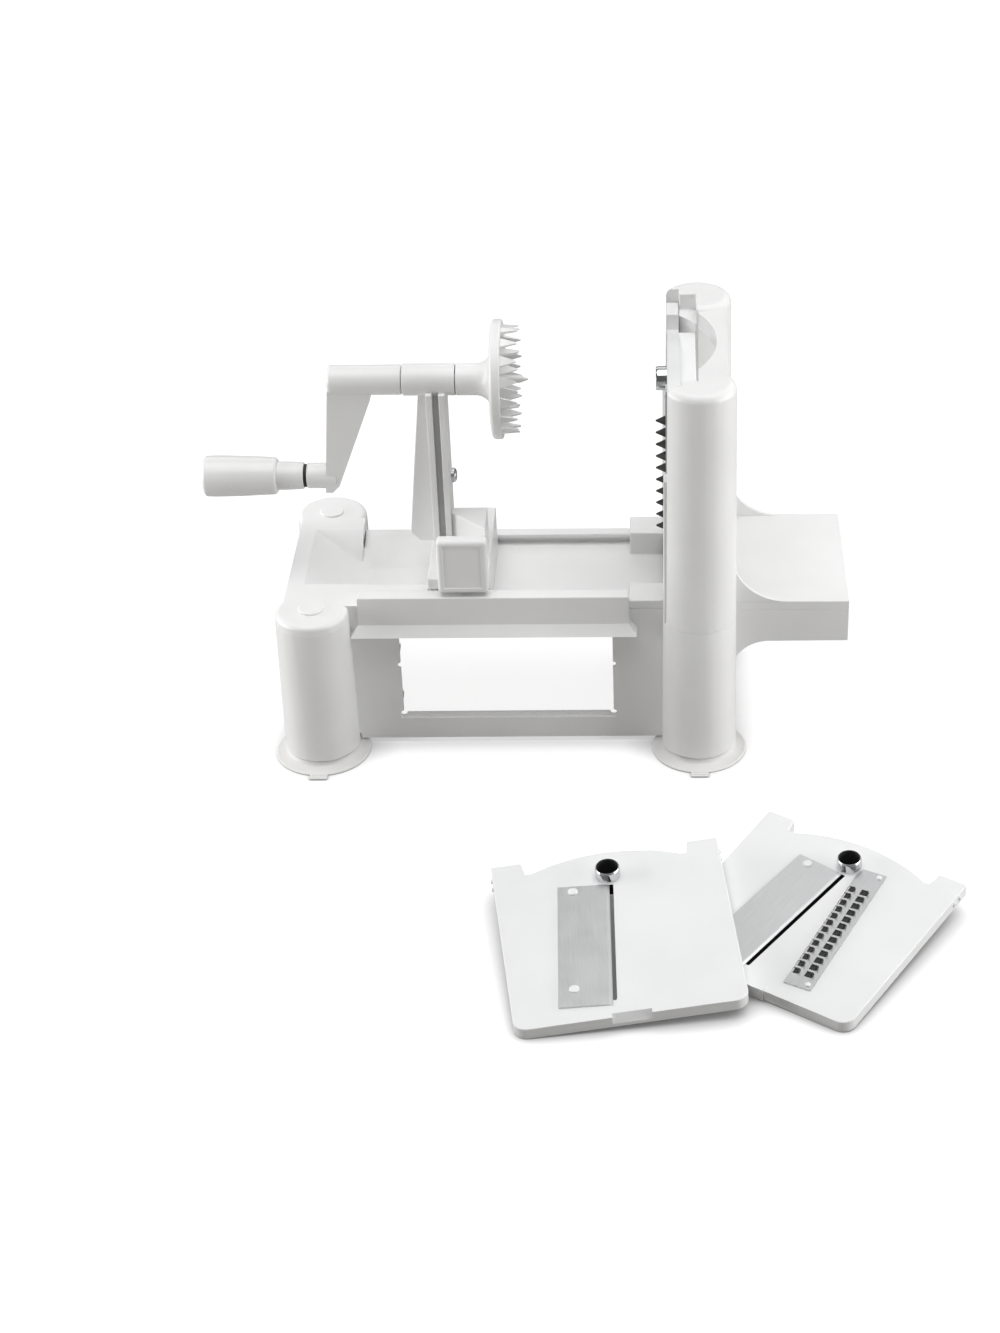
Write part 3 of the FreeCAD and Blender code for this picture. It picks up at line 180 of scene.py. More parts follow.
def painted_shade(name, low, high):
    """Painted shade: near-black colour for deep gaps, slots and the inside of the coring rings, where hardly
    any light reaches.
    """
    material, tree, shader = new_material(name, roughness=0.6)
    tint(tree, shader, noise(tree, size=1.5, detail=3), low, high)
    vary_roughness(tree, shader, noise(tree, size=1.0, detail=2), 0.5, 0.75)
    return material


def soft_rubber(name, low, high):
    """Pale silicone-like rubber of the suction feet, with a dusty sheen."""
    material, tree, shader = new_material(name, roughness=0.5)
    tint(tree, shader, noise(tree, size=12, detail=4), low, high)
    vary_roughness(tree, shader, noise(tree, size=2.5, detail=4), 0.42, 0.62)
    bump(tree, shader, noise(tree, size=0.5, detail=3), strength=0.12, depth=0.06)
    shader.inputs["Subsurface Weight"].default_value = 0.12
    shader.inputs["Subsurface Radius"].default_value = (0.004, 0.004, 0.0035)
    shader.inputs["Sheen Weight"].default_value = 0.15
    return material


WHITE = moulded_plastic("shell plastic", (0.82, 0.82, 0.815), (0.86, 0.86, 0.857), 0.34, grain=0.10)
PLATE_WHITE = moulded_plastic("plate plastic", (0.79, 0.795, 0.795), (0.83, 0.835, 0.835), 0.30, grain=0.07)
GRIP_WHITE = moulded_plastic("grip plastic", (0.79, 0.79, 0.785), (0.83, 0.83, 0.825), 0.24, grain=0.04)
RUBBER = soft_rubber("foot rubber", (0.78, 0.775, 0.765), (0.83, 0.825, 0.815))
BLADE_STEEL = brushed_steel("blade steel", (0.62, 0.625, 0.63), (0.70, 0.705, 0.71), 0.34)
STRIP_STEEL = brushed_steel("strip steel", (0.56, 0.565, 0.57), (0.68, 0.685, 0.69), 0.32)
# the teeth's steel is near black: painted shade on the teeth
SHADED_TOOTH_STEEL = brushed_steel("tooth steel in painted shade", (0.07, 0.07, 0.072), (0.15, 0.15, 0.152), 0.36)
RING_STEEL = polished_steel("ring steel", (0.62, 0.63, 0.64), (0.72, 0.73, 0.74), 0.10)
SCREW_STEEL = polished_steel("screw steel", (0.52, 0.53, 0.54), (0.62, 0.63, 0.64), 0.26)
# near-black painted shade, put on faces that lie in deep shade
PAINTED_SHADE = painted_shade("painted shade", (0.012, 0.012, 0.013), (0.028, 0.027, 0.027))


# ---------------------------------------------------------------- shapes in millimetres
MERGE = 1e-6                  # metres within which two corners are one


def add_corners(bm, points, matrix=Matrix.Identity(4)):
    return [bm.verts.new(matrix @ (Vector(point) * MM)) for point in points]


def add_loft(bm, rings):
    """Closed solid through rings that have as many corners each."""
    bm.faces.new(rings[0])
    bm.faces.new(rings[-1])
    for a, b in zip(rings, rings[1:]):
        for i in range(len(a)):
            j = (i + 1) % len(a)
            bm.faces.new((a[i], a[j], b[j], b[i]))


def add_prism(bm, section, x0, x1, matrix=Matrix.Identity(4)):
    """Prism along x from a (y, z) outline."""
    add_loft(bm, [add_corners(bm, [(x, y, z) for y, z in section], matrix) for x in (x0, x1)])


def add_box(bm, x0, x1, y0, y1, z0, z1, matrix=Matrix.Identity(4), material_index=0):
    """Box from its limits, in the matrix's space."""
    centre = Vector(((x0 + x1) / 2, (y0 + y1) / 2, (z0 + z1) / 2)) * MM
    size = Matrix.Diagonal(((x1 - x0) * MM, (y1 - y0) * MM, (z1 - z0) * MM, 1))
    made = bmesh.ops.create_cube(bm, size=1, matrix=matrix @ Matrix.Translation(centre) @ size)
    for face in {f for v in made["verts"] for f in v.link_faces}:
        face.material_index = material_index


def add_lathe(bm, profile, matrix, steps, material_index=0):
    """Turned solid about the local z axis from (z, radius) points."""
    rings = []
    for z, radius in profile:
        if radius == 0:
            rings.append(add_corners(bm, [(0, 0, z)], matrix))
            continue
        turns = [2 * math.pi * step / steps for step in range(steps)]
        circle = [(radius * math.cos(turn), radius * math.sin(turn), z) for turn in turns]
        rings.append(add_corners(bm, circle, matrix))
    for a, b in zip(rings, rings[1:]):
        for step in range(steps):
            after = (step + 1) % steps
            corners = [a[step % len(a)], a[after % len(a)], b[after % len(b)], b[step % len(b)]]
            unique = list(dict.fromkeys(corners))
            if len(unique) > 2:
                bm.faces.new(unique).material_index = material_index


def corner_arc(z0, r0, z1, r1, steps, z_first):
    """Quarter ellipse from (z0, r0) to (z1, r1), leaving along z first or along r first."""
    points = []
    for step in range(steps + 1):
        turn = math.pi / 2 * step / steps
        if z_first:
            points.append((z0 + (z1 - z0) * math.sin(turn), r0 + (r1 - r0) * (1 - math.cos(turn))))
        else:
            points.append((z0 + (z1 - z0) * (1 - math.cos(turn)), r0 + (r1 - r0) * math.sin(turn)))
    return points


def along_x(origin):
    """Local z axis laid along the machine's x axis, with its origin at that point of the scene."""
    return Matrix.Translation(origin) @ Matrix.Rotation(math.pi / 2, 4, "Y")


# ---------------------------------------------------------------- pieces
SMOOTH_ANGLE = math.radians(32)      # edges that turn less are shaded smooth
FLAT_ANGLE = math.radians(0.5)       # faces that turn less against each other are one flat face


def finish_mesh(name, bm, materials, body, replaced, matrix=None):
    """Turns a bmesh into a piece that rides on a body and stands for its CAD nodes."""
    bmesh.ops.recalc_face_normals(bm, faces=bm.faces)
    if matrix is not None:
        lay_out(bm, matrix)
    mesh = bpy.data.meshes.new(name)
    bm.to_mesh(mesh)
    bm.free()
    for material in materials:
        mesh.materials.append(material)
    piece = bpy.data.objects.new(name, mesh)
    scene.collection.objects.link(piece)
    mesh.shade_smooth()
    mesh.set_sharp_from_angle(angle=SMOOTH_ANGLE)
    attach(piece, body)
    if replaced:
        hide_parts(*replaced)
    return piece


def lay_out(bm, matrix):
    """Keeps a plate piece's own coordinates as texture coordinates and brings it to the plate's place."""
    layer = bm.loops.layers.uv.new(PLATE_UV)
    for face in bm.faces:
        for loop in face.loops:
            loop[layer].uv = loop.vert.co.xy
    bm.transform(matrix)


def merged_copy(node):
    """The CAD node's solid as one closed mesh, with its flat faces in one piece each."""
    bm = bmesh.new()
    bm.from_mesh(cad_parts[node].data)
    bmesh.ops.remove_doubles(bm, verts=bm.verts, dist=MERGE)
    bmesh.ops.dissolve_limit(bm, angle_limit=FLAT_ANGLE, verts=bm.verts, edges=bm.edges)
    return bm


def dressed(node, body, material, width, segments=3, matrix=None, shade=None, cuts=()):
    """Rounded, finished copy of a CAD node. shade(centre, normal) picks faces that get painted shade."""
    bm = merged_copy(node)
    if matrix is not None:
        bm.transform(matrix.inverted())
        bm.normal_update()
    materials = [material]
    if shade:
        materials.append(PAINTED_SHADE)
        for face in bm.faces:
            if shade(face.calc_center_median(), face.normal):
                face.material_index = 1
    piece = finish_mesh("dressed_" + node, bm, materials, body, [node], matrix)
    for cut in cuts:
        cut_away(piece, cut)
    return round_off(piece, width, segments)


def shell(node, body, width, segments=3, cuts=()):
    return dressed(node, body, WHITE, width, segments, cuts=cuts)


def paint(node, material):
    """Gives a CAD node that keeps its shape its material."""
    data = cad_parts[node].data
    data.materials.clear()
    data.materials.append(material)


def cut_away(piece, bm):
    """Cuts a helper mesh out of a piece and throws the helper away."""
    mesh = bpy.data.meshes.new("cutter")
    bm.to_mesh(mesh)
    bm.free()
    helper = bpy.data.objects.new("cutter", mesh)
    scene.collection.objects.link(helper)
    boolean = piece.modifiers.new("cut", "BOOLEAN")
    boolean.object = helper
    boolean.operation = "DIFFERENCE"
    boolean.solver = "EXACT"
    boolean.use_self = True
    bake_modifiers(piece)
    bpy.data.objects.remove(helper)


def bake_modifiers(piece):
    """Applies a piece's modifiers to its mesh."""
    graph = bpy.context.evaluated_depsgraph_get()
    baked = bpy.data.meshes.new_from_object(piece.evaluated_get(graph))
    piece.modifiers.clear()
    piece.data = baked
    baked.set_sharp_from_angle(angle=SMOOTH_ANGLE)


# ---------------------------------------------------------------- rounded edges
SEAM_Z = 89.0                 # joint between the lower frame and the upper mouldings
SEAM_TOLERANCE = 0.1
SEAM_SHARE = 0.15             # its edges are almost sharp,
TRAY_SEAM_SHARE = 0.5         # but show as a fine line beside the tall columns and on the tray,
TRAY_SEAM_X = 60.0            # which lie to the right of this
HEAL_ROUNDS = 10              # tries to ease the edges whose rounding strays
EASED_WIDTHS = 3              # how far around a stray place, in widths of the rounding
STRAY = 0.5                   # how far a rounding may leave the surface, as a share of its width
OVERLAP = 1.002               # a face whose triangles cover more than this share of it crosses itself
FOLDED = -0.3                 # a face is folded over where this is its cosine against the surface, or less
SMALL_AREA = 1e-9             # square metres
FLAT_BREADTH = 3.0            # faces broader than this are flat, narrower ones are parts of a curve
NEAR_TURN = math.radians(28)  # a flat face lends its direction to a strip that turns less from it
CURVE_TURN = math.radians(40)  # strips of one curve turn less than this against each other
NO_AREA = 1e-12               # square metres of a face that is only a line
ANY_TURN = 4                  # stands for the angle to a face without a direction, past all others


def round_off(piece, width, segments=3, angle=30):
    """Rolls over the hard edges of a piece. An edge whose rounding would stray from the surface gets less."""
    mesh = piece.data
    bm = bmesh.new()
    bm.from_mesh(mesh)
    amount = bm.edges.layers.float.new("bevel_weight_edge")
    for edge in bm.edges:
        hard = edge.is_manifold and edge.calc_face_angle() > math.radians(angle)
        at_seam = all(abs(v.co.z / MM - SEAM_Z) < SEAM_TOLERANCE for v in edge.verts)
        edge[amount] = 0.0 if not hard else seam_share(edge) if at_seam else 1.0
    bm.to_mesh(mesh)
    surface = BVHTree.FromBMesh(bm)
    corners = KDTree(len(bm.verts))
    for vertex in bm.verts:
        corners.insert(vertex.co, vertex.index)
    corners.balance()
    bevel = piece.modifiers.new("rounded edges", "BEVEL")
    bevel.width = width * MM
    bevel.segments = segments
    bevel.limit_method = "WEIGHT"
    bevel.use_clamp_overlap = False
    bevel.miter_outer = "MITER_ARC"
    bm.verts.ensure_lookup_table()
    for attempt in range(HEAL_ROUNDS):
        anchors = stray_anchors(piece, surface, width * MM * STRAY)
        if not anchors:
            break
        for spot in anchors:
            for found, index, distance in corners.find_range(spot, EASED_WIDTHS * width * MM):
                for edge in bm.verts[index].link_edges:
                    edge[amount] *= 0.5 if attempt < HEAL_ROUNDS / 2 else 0.0
        bm.to_mesh(mesh)
    bm.free()
    bake_modifiers(piece)
    settle_shading(piece.data)
    return piece


def seam_share(edge):
    return TRAY_SEAM_SHARE if edge.verts[0].co.x > place(TRAY_SEAM_X, 0, 0).x else SEAM_SHARE


def stray_anchors(piece, surface, reach):
    """Places where the rounded mesh starts to leave the surface, crosses itself or folds over."""
    evaluated = piece.evaluated_get(bpy.context.evaluated_depsgraph_get())
    rounded = evaluated.to_mesh()
    stray = {v.index for v in rounded.vertices if surface.find_nearest(v.co)[3] > reach}
    anchors = []
    for edge in rounded.edges:
        ends = [i for i in edge.vertices if i not in stray]
        if len(ends) == 1:
            anchors.append(rounded.vertices[ends[0]].co.copy())
    covered = [0.0] * len(rounded.polygons)
    rounded.calc_loop_triangles()
    for triangle in rounded.loop_triangles:
        covered[triangle.polygon_index] += triangle.area
    for polygon in rounded.polygons:
        if covered[polygon.index] > polygon.area * OVERLAP + SMALL_AREA:
            anchors += crossings([rounded.vertices[i].co for i in polygon.vertices], polygon.normal)
        elif polygon.area > SMALL_AREA:
            if surface.find_nearest(polygon.center)[1].dot(polygon.normal) < FOLDED:
                anchors.append(polygon.center.copy())
    evaluated.to_mesh_clear()
    return anchors


def crossings(corners, normal):
    """Places where an outline runs across itself."""
    flatten = normal.to_track_quat("Z", "Y").to_matrix().transposed()
    flat = [(flatten @ corner).xy for corner in corners]
    count = len(flat)
    found = []
    for i in range(count):
        for j in range(i + 2, count - (i == 0)):
            if intersect_line_line_2d(flat[i], flat[(i + 1) % count], flat[j], flat[(j + 1) % count]):
                found += [corners[i].copy(), corners[j].copy()]
    return found


def settle_shading(mesh):
    """Keeps flat faces flat and lets them lend their direction to the curved strips beside them."""
    points = [v.co for v in mesh.vertices]
    flat = []
    around = [[] for _ in points]
    for face in mesh.polygons:
        ring = list(face.vertices)
        outline = sum((points[a] - points[b]).length for a, b in zip(ring, ring[1:] + ring[:1]))
        flat.append(2 * face.area > FLAT_BREADTH * MM * outline)
        for index in ring:
            around[index].append(face)
    directions = []
    for face in mesh.polygons:
        keeps = flat[face.index] or face.area < NO_AREA
        for index in face.vertices:
            directions.append(face.normal.copy() if keeps else strip_direction(face, around[index], flat))
    mesh.normals_split_custom_set(directions)


def strip_direction(face, neighbours, flat):
    """Shading direction of a curved strip at one of its corners."""
    lenders = [f for f in neighbours if flat[f.index] and f.normal.angle(face.normal, ANY_TURN) < NEAR_TURN]
    if lenders:
        return min(lenders, key=lambda f: f.normal.angle(face.normal)).normal.copy()
    total = Vector()
    for other in neighbours:
        if not flat[other.index] and other.normal.angle(face.normal, ANY_TURN) < CURVE_TURN:
            total += other.normal * other.area
    return total.normalized() if total.length > 0 else face.normal.copy()


# ---------------------------------------------------------------- base
WINDOW_X0 = -61.0
WINDOW_X1 = 59.5
WINDOW_Z0 = 19.5
FRONT_WALL_Y = -48.0
REBATE_H = 3.2
REBATE_DEEP = 1.5
REBATE_PAST = 1.5             # how far the step runs past the window's corners
REBATE_LAP = 0.2              # how far its cut reaches up into the window
CUT_PAST = 1.0                # how far a cut runs past the face it cuts


def base_shells():
    shell("lower_frame", "base", 0.7, cuts=[sill_rebate()])
    for node, width in (("deck", 0.9), ("blade_tower", 0.9), ("tray_shell", 0.6), ("tray_top", 0.6),
                        ("near_post_cap", 0.3), ("rear_post_cap", 0.3)):
        shell(node, "base", width)
    paint("frame_screws", SCREW_STEEL)


def sill_rebate():
    """Step along the lower edge of the window."""
    bm = bmesh.new()
    add_box(bm, WINDOW_X0 - REBATE_PAST, WINDOW_X1 + REBATE_PAST,
            FRONT_WALL_Y - CUT_PAST, FRONT_WALL_Y + REBATE_DEEP,
            WINDOW_Z0 - REBATE_H, WINDOW_Z0 + REBATE_LAP, Matrix.Translation(DATUM))
    return bm


FOOT_RIM_R = 27.0
LIP_Z = 1.3                   # upper side of the rim
CUP_TOP_Z = 3.4
TAB_HALF = 5.0
TAB_OUT = 4.0                 # pull tab, out of the rim
TAB_ROOT = 1.5                # and inside it
TAB_Z0 = 0.4
TAB_Z1 = 1.2
RIDGES = (0.35, 0.7)          # grip ridges, as shares of the tab's length
RIDGE_IN = 1.2
RIDGE_HALF = 0.35
RIDGE_TOP_Z = 1.5


def foot(node, side):
    """Suction cup with a waist under the column and a ribbed pull tab, which points to that side."""
    centre = middle(node)
    matrix = Matrix.Translation(Vector((centre.x, centre.y - side * (TAB_OUT / 2) * MM, 0)))
    hollow = [(CUP_TOP_Z, 0)] + corner_arc(CUP_TOP_Z, 8.0, 1.2, 21.0, 6, z_first=False)
    lip = [(0.35, 24.0), (0.0, 24.8), (0.0, 26.4), (0.25, 26.85)]
    lip += [(0.7, FOOT_RIM_R), (1.05, 26.8), (LIP_Z, 26.2)]
    back = corner_arc(LIP_Z, 26.2, CUP_TOP_Z, 20.4, 6, z_first=False)
    waist = [(4.4, 19.9), (4.7, 19.4), (4.8, 18.2), (5.9, 18.2)]
    plug = [(5.9, 17.0), (9.9, 17.0), (9.9, 4.0)]
    stem = [(13.1, 4.0), (13.1, 5.5), (14.2, 4.6), (16.1, 2.2), (16.1, 0)]
    bm = bmesh.new()
    add_lathe(bm, hollow + lip + back + waist + plug + stem, matrix, 72)
    root = side * (FOOT_RIM_R - TAB_ROOT)
    tip = side * (FOOT_RIM_R + TAB_OUT)
    add_box(bm, -TAB_HALF, TAB_HALF, min(root, tip), max(root, tip), TAB_Z0, TAB_Z1, matrix)
    for share in RIDGES:
        ridge_y = root + (tip - root) * share
        add_box(bm, RIDGE_IN - TAB_HALF, TAB_HALF - RIDGE_IN, ridge_y - RIDGE_HALF, ridge_y + RIDGE_HALF,
                TAB_Z1, RIDGE_TOP_Z, matrix)
    piece = finish_mesh("foot_" + node, bm, [RUBBER], "base", [node])
    return round_off(piece, 0.15, 2, 50)


def feet():
    for node in ("near_left_foot", "near_right_foot"):
        foot(node, -1)
    for node in ("rear_left_foot", "rear_right_foot"):
        foot(node, 1)


# ---------------------------------------------------------------- carriage
SCREW_HEAD_R = 4.2
SCREW_HEAD_H = 3.0
SCREW_SHANK_R = 2.0
DOME_SHARE = 0.35             # straight side of the head, and flat middle of its dome
CROSS_SHARE = 0.55            # arms and depth of the cross recess
CROSS_HALF = 0.45             # half width of its arms


def carriage():
    shell("carriage_sled", "carriage", 0.7)
    shell("carriage_gusset", "carriage", 0.6)
    shell("carriage_upright", "carriage", 0.6)
    shell("push_handle", "carriage", 0.2, 2)
    upright_screw()


def upright_screw():
    """Pan head with a cross recess, facing along the machine's x axis, on its plain shank."""
    low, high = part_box("upright_screw")
    centre = middle("upright_screw")
    seat = high.x / MM - SCREW_HEAD_H
    matrix = along_x(Vector((seat * MM, centre.y, centre.z)))
    end = low.x / MM - seat
    profile = [(end, 0), (end, SCREW_SHANK_R), (0, SCREW_SHANK_R), (0, SCREW_HEAD_R)]
    profile += corner_arc(SCREW_HEAD_H * DOME_SHARE, SCREW_HEAD_R,
                          SCREW_HEAD_H, SCREW_HEAD_R * DOME_SHARE, 6, z_first=True)
    profile += [(SCREW_HEAD_H, 0)]
    bm = bmesh.new()
    add_lathe(bm, profile, matrix, 40)
    piece = finish_mesh("upright_screw_head", bm, [SCREW_STEEL], "carriage",
                        ["upright_screw"])
    arm = SCREW_HEAD_R * CROSS_SHARE
    bottom, over = SCREW_HEAD_H - SCREW_HEAD_H * CROSS_SHARE, SCREW_HEAD_H + CUT_PAST
    cutter = bmesh.new()
    for half_x, half_y in ((arm, CROSS_HALF), (CROSS_HALF, arm)):
        add_box(cutter, -half_x, half_x, -half_y, half_y, bottom, over, matrix)
    cut_away(piece, cutter)


# ---------------------------------------------------------------- crank
DISC_R = 33.0
DISC_HUB_R = 8.8
DISC_HUB_X = -25.1            # left end of the disc's hub
FLARE_X = -14.5               # from here the hub widens into the disc
DISC_BACK_X = -6.3
BORE_R = 5.0
DISH_X = -2.2                 # floor of the dished front
RIM_X = 0.8
PIN_R = 2.2                   # centre pin
PIN_TIP_X = 14.8
PRONG_RINGS = ((29.0, 16), (16.0, 8))
PRONG_W = 8.0
PRONG_T = 1.8
PRONG_WAIST = 0.78            # width of a prong at the rim, as a share of its width at the root
PRONG_THIN = 0.55             # thickness of its tip, as a share of the rest
PRONG_TIP_X = 9.8
PRONG_TIP_HALF = 0.4


def crank():
    shell("crank_arm", "crank", 1.1, 4)
    shell("hub_cap", "crank", 0.3)
    for node in ("spindle", "hub_screw", "grip_pin"):
        paint(node, SCREW_STEEL)
    spiked_disc()
    grip()


def spiked_disc():
    """Disc with a rolled rim and a flared hub, two rings of tapered prongs and the centre pin."""
    hub = [(DISC_HUB_X, BORE_R), (DISC_HUB_X, 8.3), (-24.7, DISC_HUB_R), (FLARE_X, DISC_HUB_R)]
    back = corner_arc(FLARE_X, DISC_HUB_R, DISC_BACK_X, 15.5, 8, z_first=True)
    back += [(-5.9, 22.0), (-5.3, 29.5), (-4.9, 31.6), (-4.2, 32.6)]
    rim = [(-3.2, DISC_R), (-0.4, DISC_R), (0.35, 32.8), (0.75, 32.3)]
    rim += [(RIM_X, 31.7), (RIM_X, 30.9), (0.6, 30.35)]
    dish = [(0.1, 30.05), (-1.7, 29.9), (DISH_X, 29.5), (DISH_X, 3.4)]
    pin = [(-1.8, 2.5), (-1.4, PIN_R), (9.8, PIN_R), (PIN_TIP_X, 0.4), (PIN_TIP_X, 0)]
    bm = bmesh.new()
    add_lathe(bm, hub + back + rim + dish + pin, along_x(place(0, 0, AXIS_Z)), 96)
    for radius, count in PRONG_RINGS:
        for step in range(count):
            add_prong(bm, radius, 2 * math.pi * step / count)
    piece = finish_mesh("spiked_disc_shell", bm, [WHITE], "crank", ["spiked_disc"])
    round_off(piece, 0.22, 2, 40)


def add_prong(bm, radius, turn):
    """Tapered wedge, as wide as the gaps beside it at its root and pointed at its end."""
    matrix = Matrix.Translation(place(0, 0, AXIS_Z)) @ Matrix.Rotation(-turn, 4, "X")
    half_w, half_t = PRONG_W / 2, PRONG_T / 2
    sections = ((DISH_X, half_w, half_t), (RIM_X, half_w * PRONG_WAIST, half_t),
                (PRONG_TIP_X, PRONG_TIP_HALF, half_t * PRONG_THIN))
    rings = []
    for x, w, t in sections:
        corners = [(x, -w, radius - t), (x, w, radius - t), (x, w, radius + t), (x, -w, radius + t)]
        rings.append(add_corners(bm, corners, matrix))
    add_loft(bm, rings)


GRIP_X0 = -169.0              # outer end
GRIP_X1 = -128.0              # sleeve ends, collar begins
COLLAR_X1 = -113.2
PIN_BORE_R = 3.05
PLUG_X = GRIP_X0 + 3.0        # floor of the end plug's seat
PLUG_SEAT_R = 5.6
PLUG_R = 5.45
SHADE_BOSS_R = 6.5                  # boss of painted shade in the gap between the collar and the crank's stub
SHADE_BOSS_OUT = 1.4
SHADE_BOSS_IN = 0.5


def grip():
    """Turning grip: a gently barrelled sleeve, its end plug behind a fine gap, and the collar, with painted
    shade in the gap beside it.
    """
    axis = along_x(place(0, 0, GRIP_Z))
    profile = [(PLUG_X, PIN_BORE_R), (PLUG_X, PLUG_SEAT_R), (GRIP_X0 + 0.2, PLUG_SEAT_R), (GRIP_X0, 5.9)]
    profile += corner_arc(GRIP_X0, 9.6, GRIP_X0 + 1.9, 11.45, 6, z_first=False)
    profile += [(-163.0, 11.6), (-155.0, 11.5), (-145.0, 11.2), (-136.0, 10.8), (-131.0, 10.55)]
    profile += corner_arc(-130.0, 10.5, GRIP_X1, 8.6, 5, z_first=True)
    profile += [(GRIP_X1, PIN_BORE_R), (PLUG_X, PIN_BORE_R)]
    sleeve = bmesh.new()
    add_lathe(sleeve, profile, axis, 80)
    grip_piece("grip_barrel", sleeve, [GRIP_WHITE], "grip_sleeve")
    profile = [(PLUG_X, 0), (PLUG_X, PLUG_R), (GRIP_X0 + 0.7, PLUG_R), (GRIP_X0 + 0.3, 5.1)]
    profile += [(GRIP_X0 + 0.2, 4.0), (GRIP_X0 + 0.15, 0)]
    plug = bmesh.new()
    add_lathe(plug, profile, axis, 48)
    grip_piece("grip_plug", plug, [GRIP_WHITE], "grip_end_cap")
    profile = [(GRIP_X1, PIN_BORE_R), (GRIP_X1, 7.7), (GRIP_X1 + 0.3, 8.0), (-122.0, 7.95), (-115.5, 7.7)]
    profile += corner_arc(-114.2, 7.6, COLLAR_X1, 6.8, 4, z_first=True)
    profile += [(COLLAR_X1, PIN_BORE_R), (GRIP_X1, PIN_BORE_R)]
    shade_boss_x0, shade_boss_x1 = COLLAR_X1 - SHADE_BOSS_IN, COLLAR_X1 + SHADE_BOSS_OUT
    shade_boss = [(shade_boss_x0, PIN_BORE_R), (shade_boss_x0, SHADE_BOSS_R), (shade_boss_x1, SHADE_BOSS_R), (shade_boss_x1, PIN_BORE_R),
            (shade_boss_x0, PIN_BORE_R)]
    collar = bmesh.new()
    add_lathe(collar, profile, axis, 64)
    # near-black boss: painted shade in the gap
    add_lathe(collar, shade_boss, axis, 48, 1)
    grip_piece("grip_neck", collar, [GRIP_WHITE, PAINTED_SHADE], "grip_collar")


def grip_piece(name, bm, materials, node):
    bmesh.ops.remove_doubles(bm, verts=bm.verts, dist=MERGE)
    finish_mesh(name, bm, materials, "grip", [node])


# ---------------------------------------------------------------- blade plates
# Plate pieces are made in the plate's own space: x across, y up its height, z out of its cutting face.
PLATE_T = 7.0
RING_V = 103.0                # coring ring, above the plate's lower edge
RING_R = 6.6
RING_WALL = 1.0
RING_PROUD = 6.0
BLADE_T = 0.8
BLADE_W = 26.5
BLADE_LEAN = 5.5              # degrees
BLADE_FOOT = 8.0
BLADE_HEAD = RING_V - RING_R - 1.3
GROUND_W = 1.6                # ground slope at the blade's edge
EDGE_X = 0.6
STUD_X = 8.0 - BLADE_W
STUD_IN = 12.0                # studs, from the ring's middle and from the blade's foot
STUD_R = 2.6
STUD_H = 1.0
STRIP_STUD_R = 1.5
STRIP_Y0 = 9.0
STRIP_Y1 = 88.4
STRIP_X0 = 6.5
STRIP_X1 = 21.5
STRIP_END = 6.0
STRIP_MARGIN = 2.0
RING_ROOM = 1.2               # around the ring, in the strip
LATCH_HALF = 10.0
LATCH_EDGE_Z = 0.9            # what the latch's slope leaves at the plate's edge
LATCH_SLOPE = 2.8
SKIM = 0.01
PLATE_TIP = math.atan2(9.0, 112.0)     # a lying plate rests on its lower edge and its handle rail
SLICER_TURN = 7.2
SLICER_ROLL = 3.62
SHREDDER_TURN = -33.7


def plate_matrix(rotation, name):
    """Matrix of a plate: its turn, and the place that its coring ring's node gives."""
    ring_centre = Vector((0, RING_V, (PLATE_T + RING_PROUD) / 2)) * MM
    return Matrix.Translation(middle(name + "_coring_ring") - rotation @ ring_centre) @ rotation.to_4x4()


def standing():
    return Matrix(((0, 0, -1), (-1, 0, 0), (0, 1, 0)))


def lying(turn, roll):
    tip = Matrix.Rotation(PLATE_TIP, 3, "X")
    lean = Matrix.Rotation(math.radians(-roll), 3, "Y")
    spin = Matrix.Rotation(math.radians(turn), 3, "Z")
    return spin @ lean @ tip


def leaned(degrees):
    """Turn about the coring ring, within the plate's face."""
    pivot = Vector((0, RING_V, 0)) * MM
    turn = Matrix.Rotation(math.radians(-degrees), 4, "Z")
    return Matrix.Translation(pivot) @ turn @ Matrix.Translation(-pivot)


TO_BLADE = leaned(BLADE_LEAN)
TO_STRIP = leaned(-BLADE_LEAN)
SLOTS_X = (-8, 30)            # where the blade's and the teeth's slots lie, clear of the plate's outline
SLOTS_Y = (6, 98)
STEEP = 0.5


def slot_wall_in_painted_shade(centre, normal):
    """Walls inside the blade's and the teeth's slots, which get painted shade."""
    x, y, z = centre / MM
    inside = SLOTS_X[0] < x < SLOTS_X[1] and SLOTS_Y[0] < y < SLOTS_Y[1] and 0 < z < PLATE_T
    return inside and abs(normal.z) < STEEP


def latch_cut(matrix):
    """Wedge taken off the plate's lower edge, which leaves the sloping face of its latch tab."""
    bm = bmesh.new()
    over = PLATE_T + CUT_PAST
    section = [(-CUT_PAST, LATCH_EDGE_Z), (LATCH_SLOPE, PLATE_T + SKIM)]
    section += [(LATCH_SLOPE, over), (-CUT_PAST, over)]
    add_prism(bm, section, -LATCH_HALF, LATCH_HALF)
    bm.transform(matrix)
    return bm


def plate(name, rotation):
    matrix = plate_matrix(rotation, name)
    # the walls inside the slots get painted shade
    dressed(name + "_plate", name, PLATE_WHITE, 0.8, matrix=matrix,
            shade=slot_wall_in_painted_shade, cuts=[latch_cut(matrix)])
    straight_blade(name, matrix)
    coring_ring(name, matrix)
    blade_studs(name, matrix)
    return matrix


def straight_blade(name, matrix):
    """Sheet steel blade with a ground edge over its slot."""
    section = [(-BLADE_W, 0), (-BLADE_W, BLADE_T), (-GROUND_W, BLADE_T)]
    section += [(0.35, 0.25), (EDGE_X, 0.12), (EDGE_X, 0)]
    ends = [[(x, y, PLATE_T + z) for x, z in section] for y in (BLADE_FOOT, BLADE_HEAD)]
    bm = bmesh.new()
    add_loft(bm, [add_corners(bm, end) for end in ends])
    bm.transform(TO_BLADE)
    piece = finish_mesh(name + "_ground_blade", bm, [BLADE_STEEL], name,
                        [name + "_blade"], matrix)
    round_off(piece, 0.12, 2, 25)


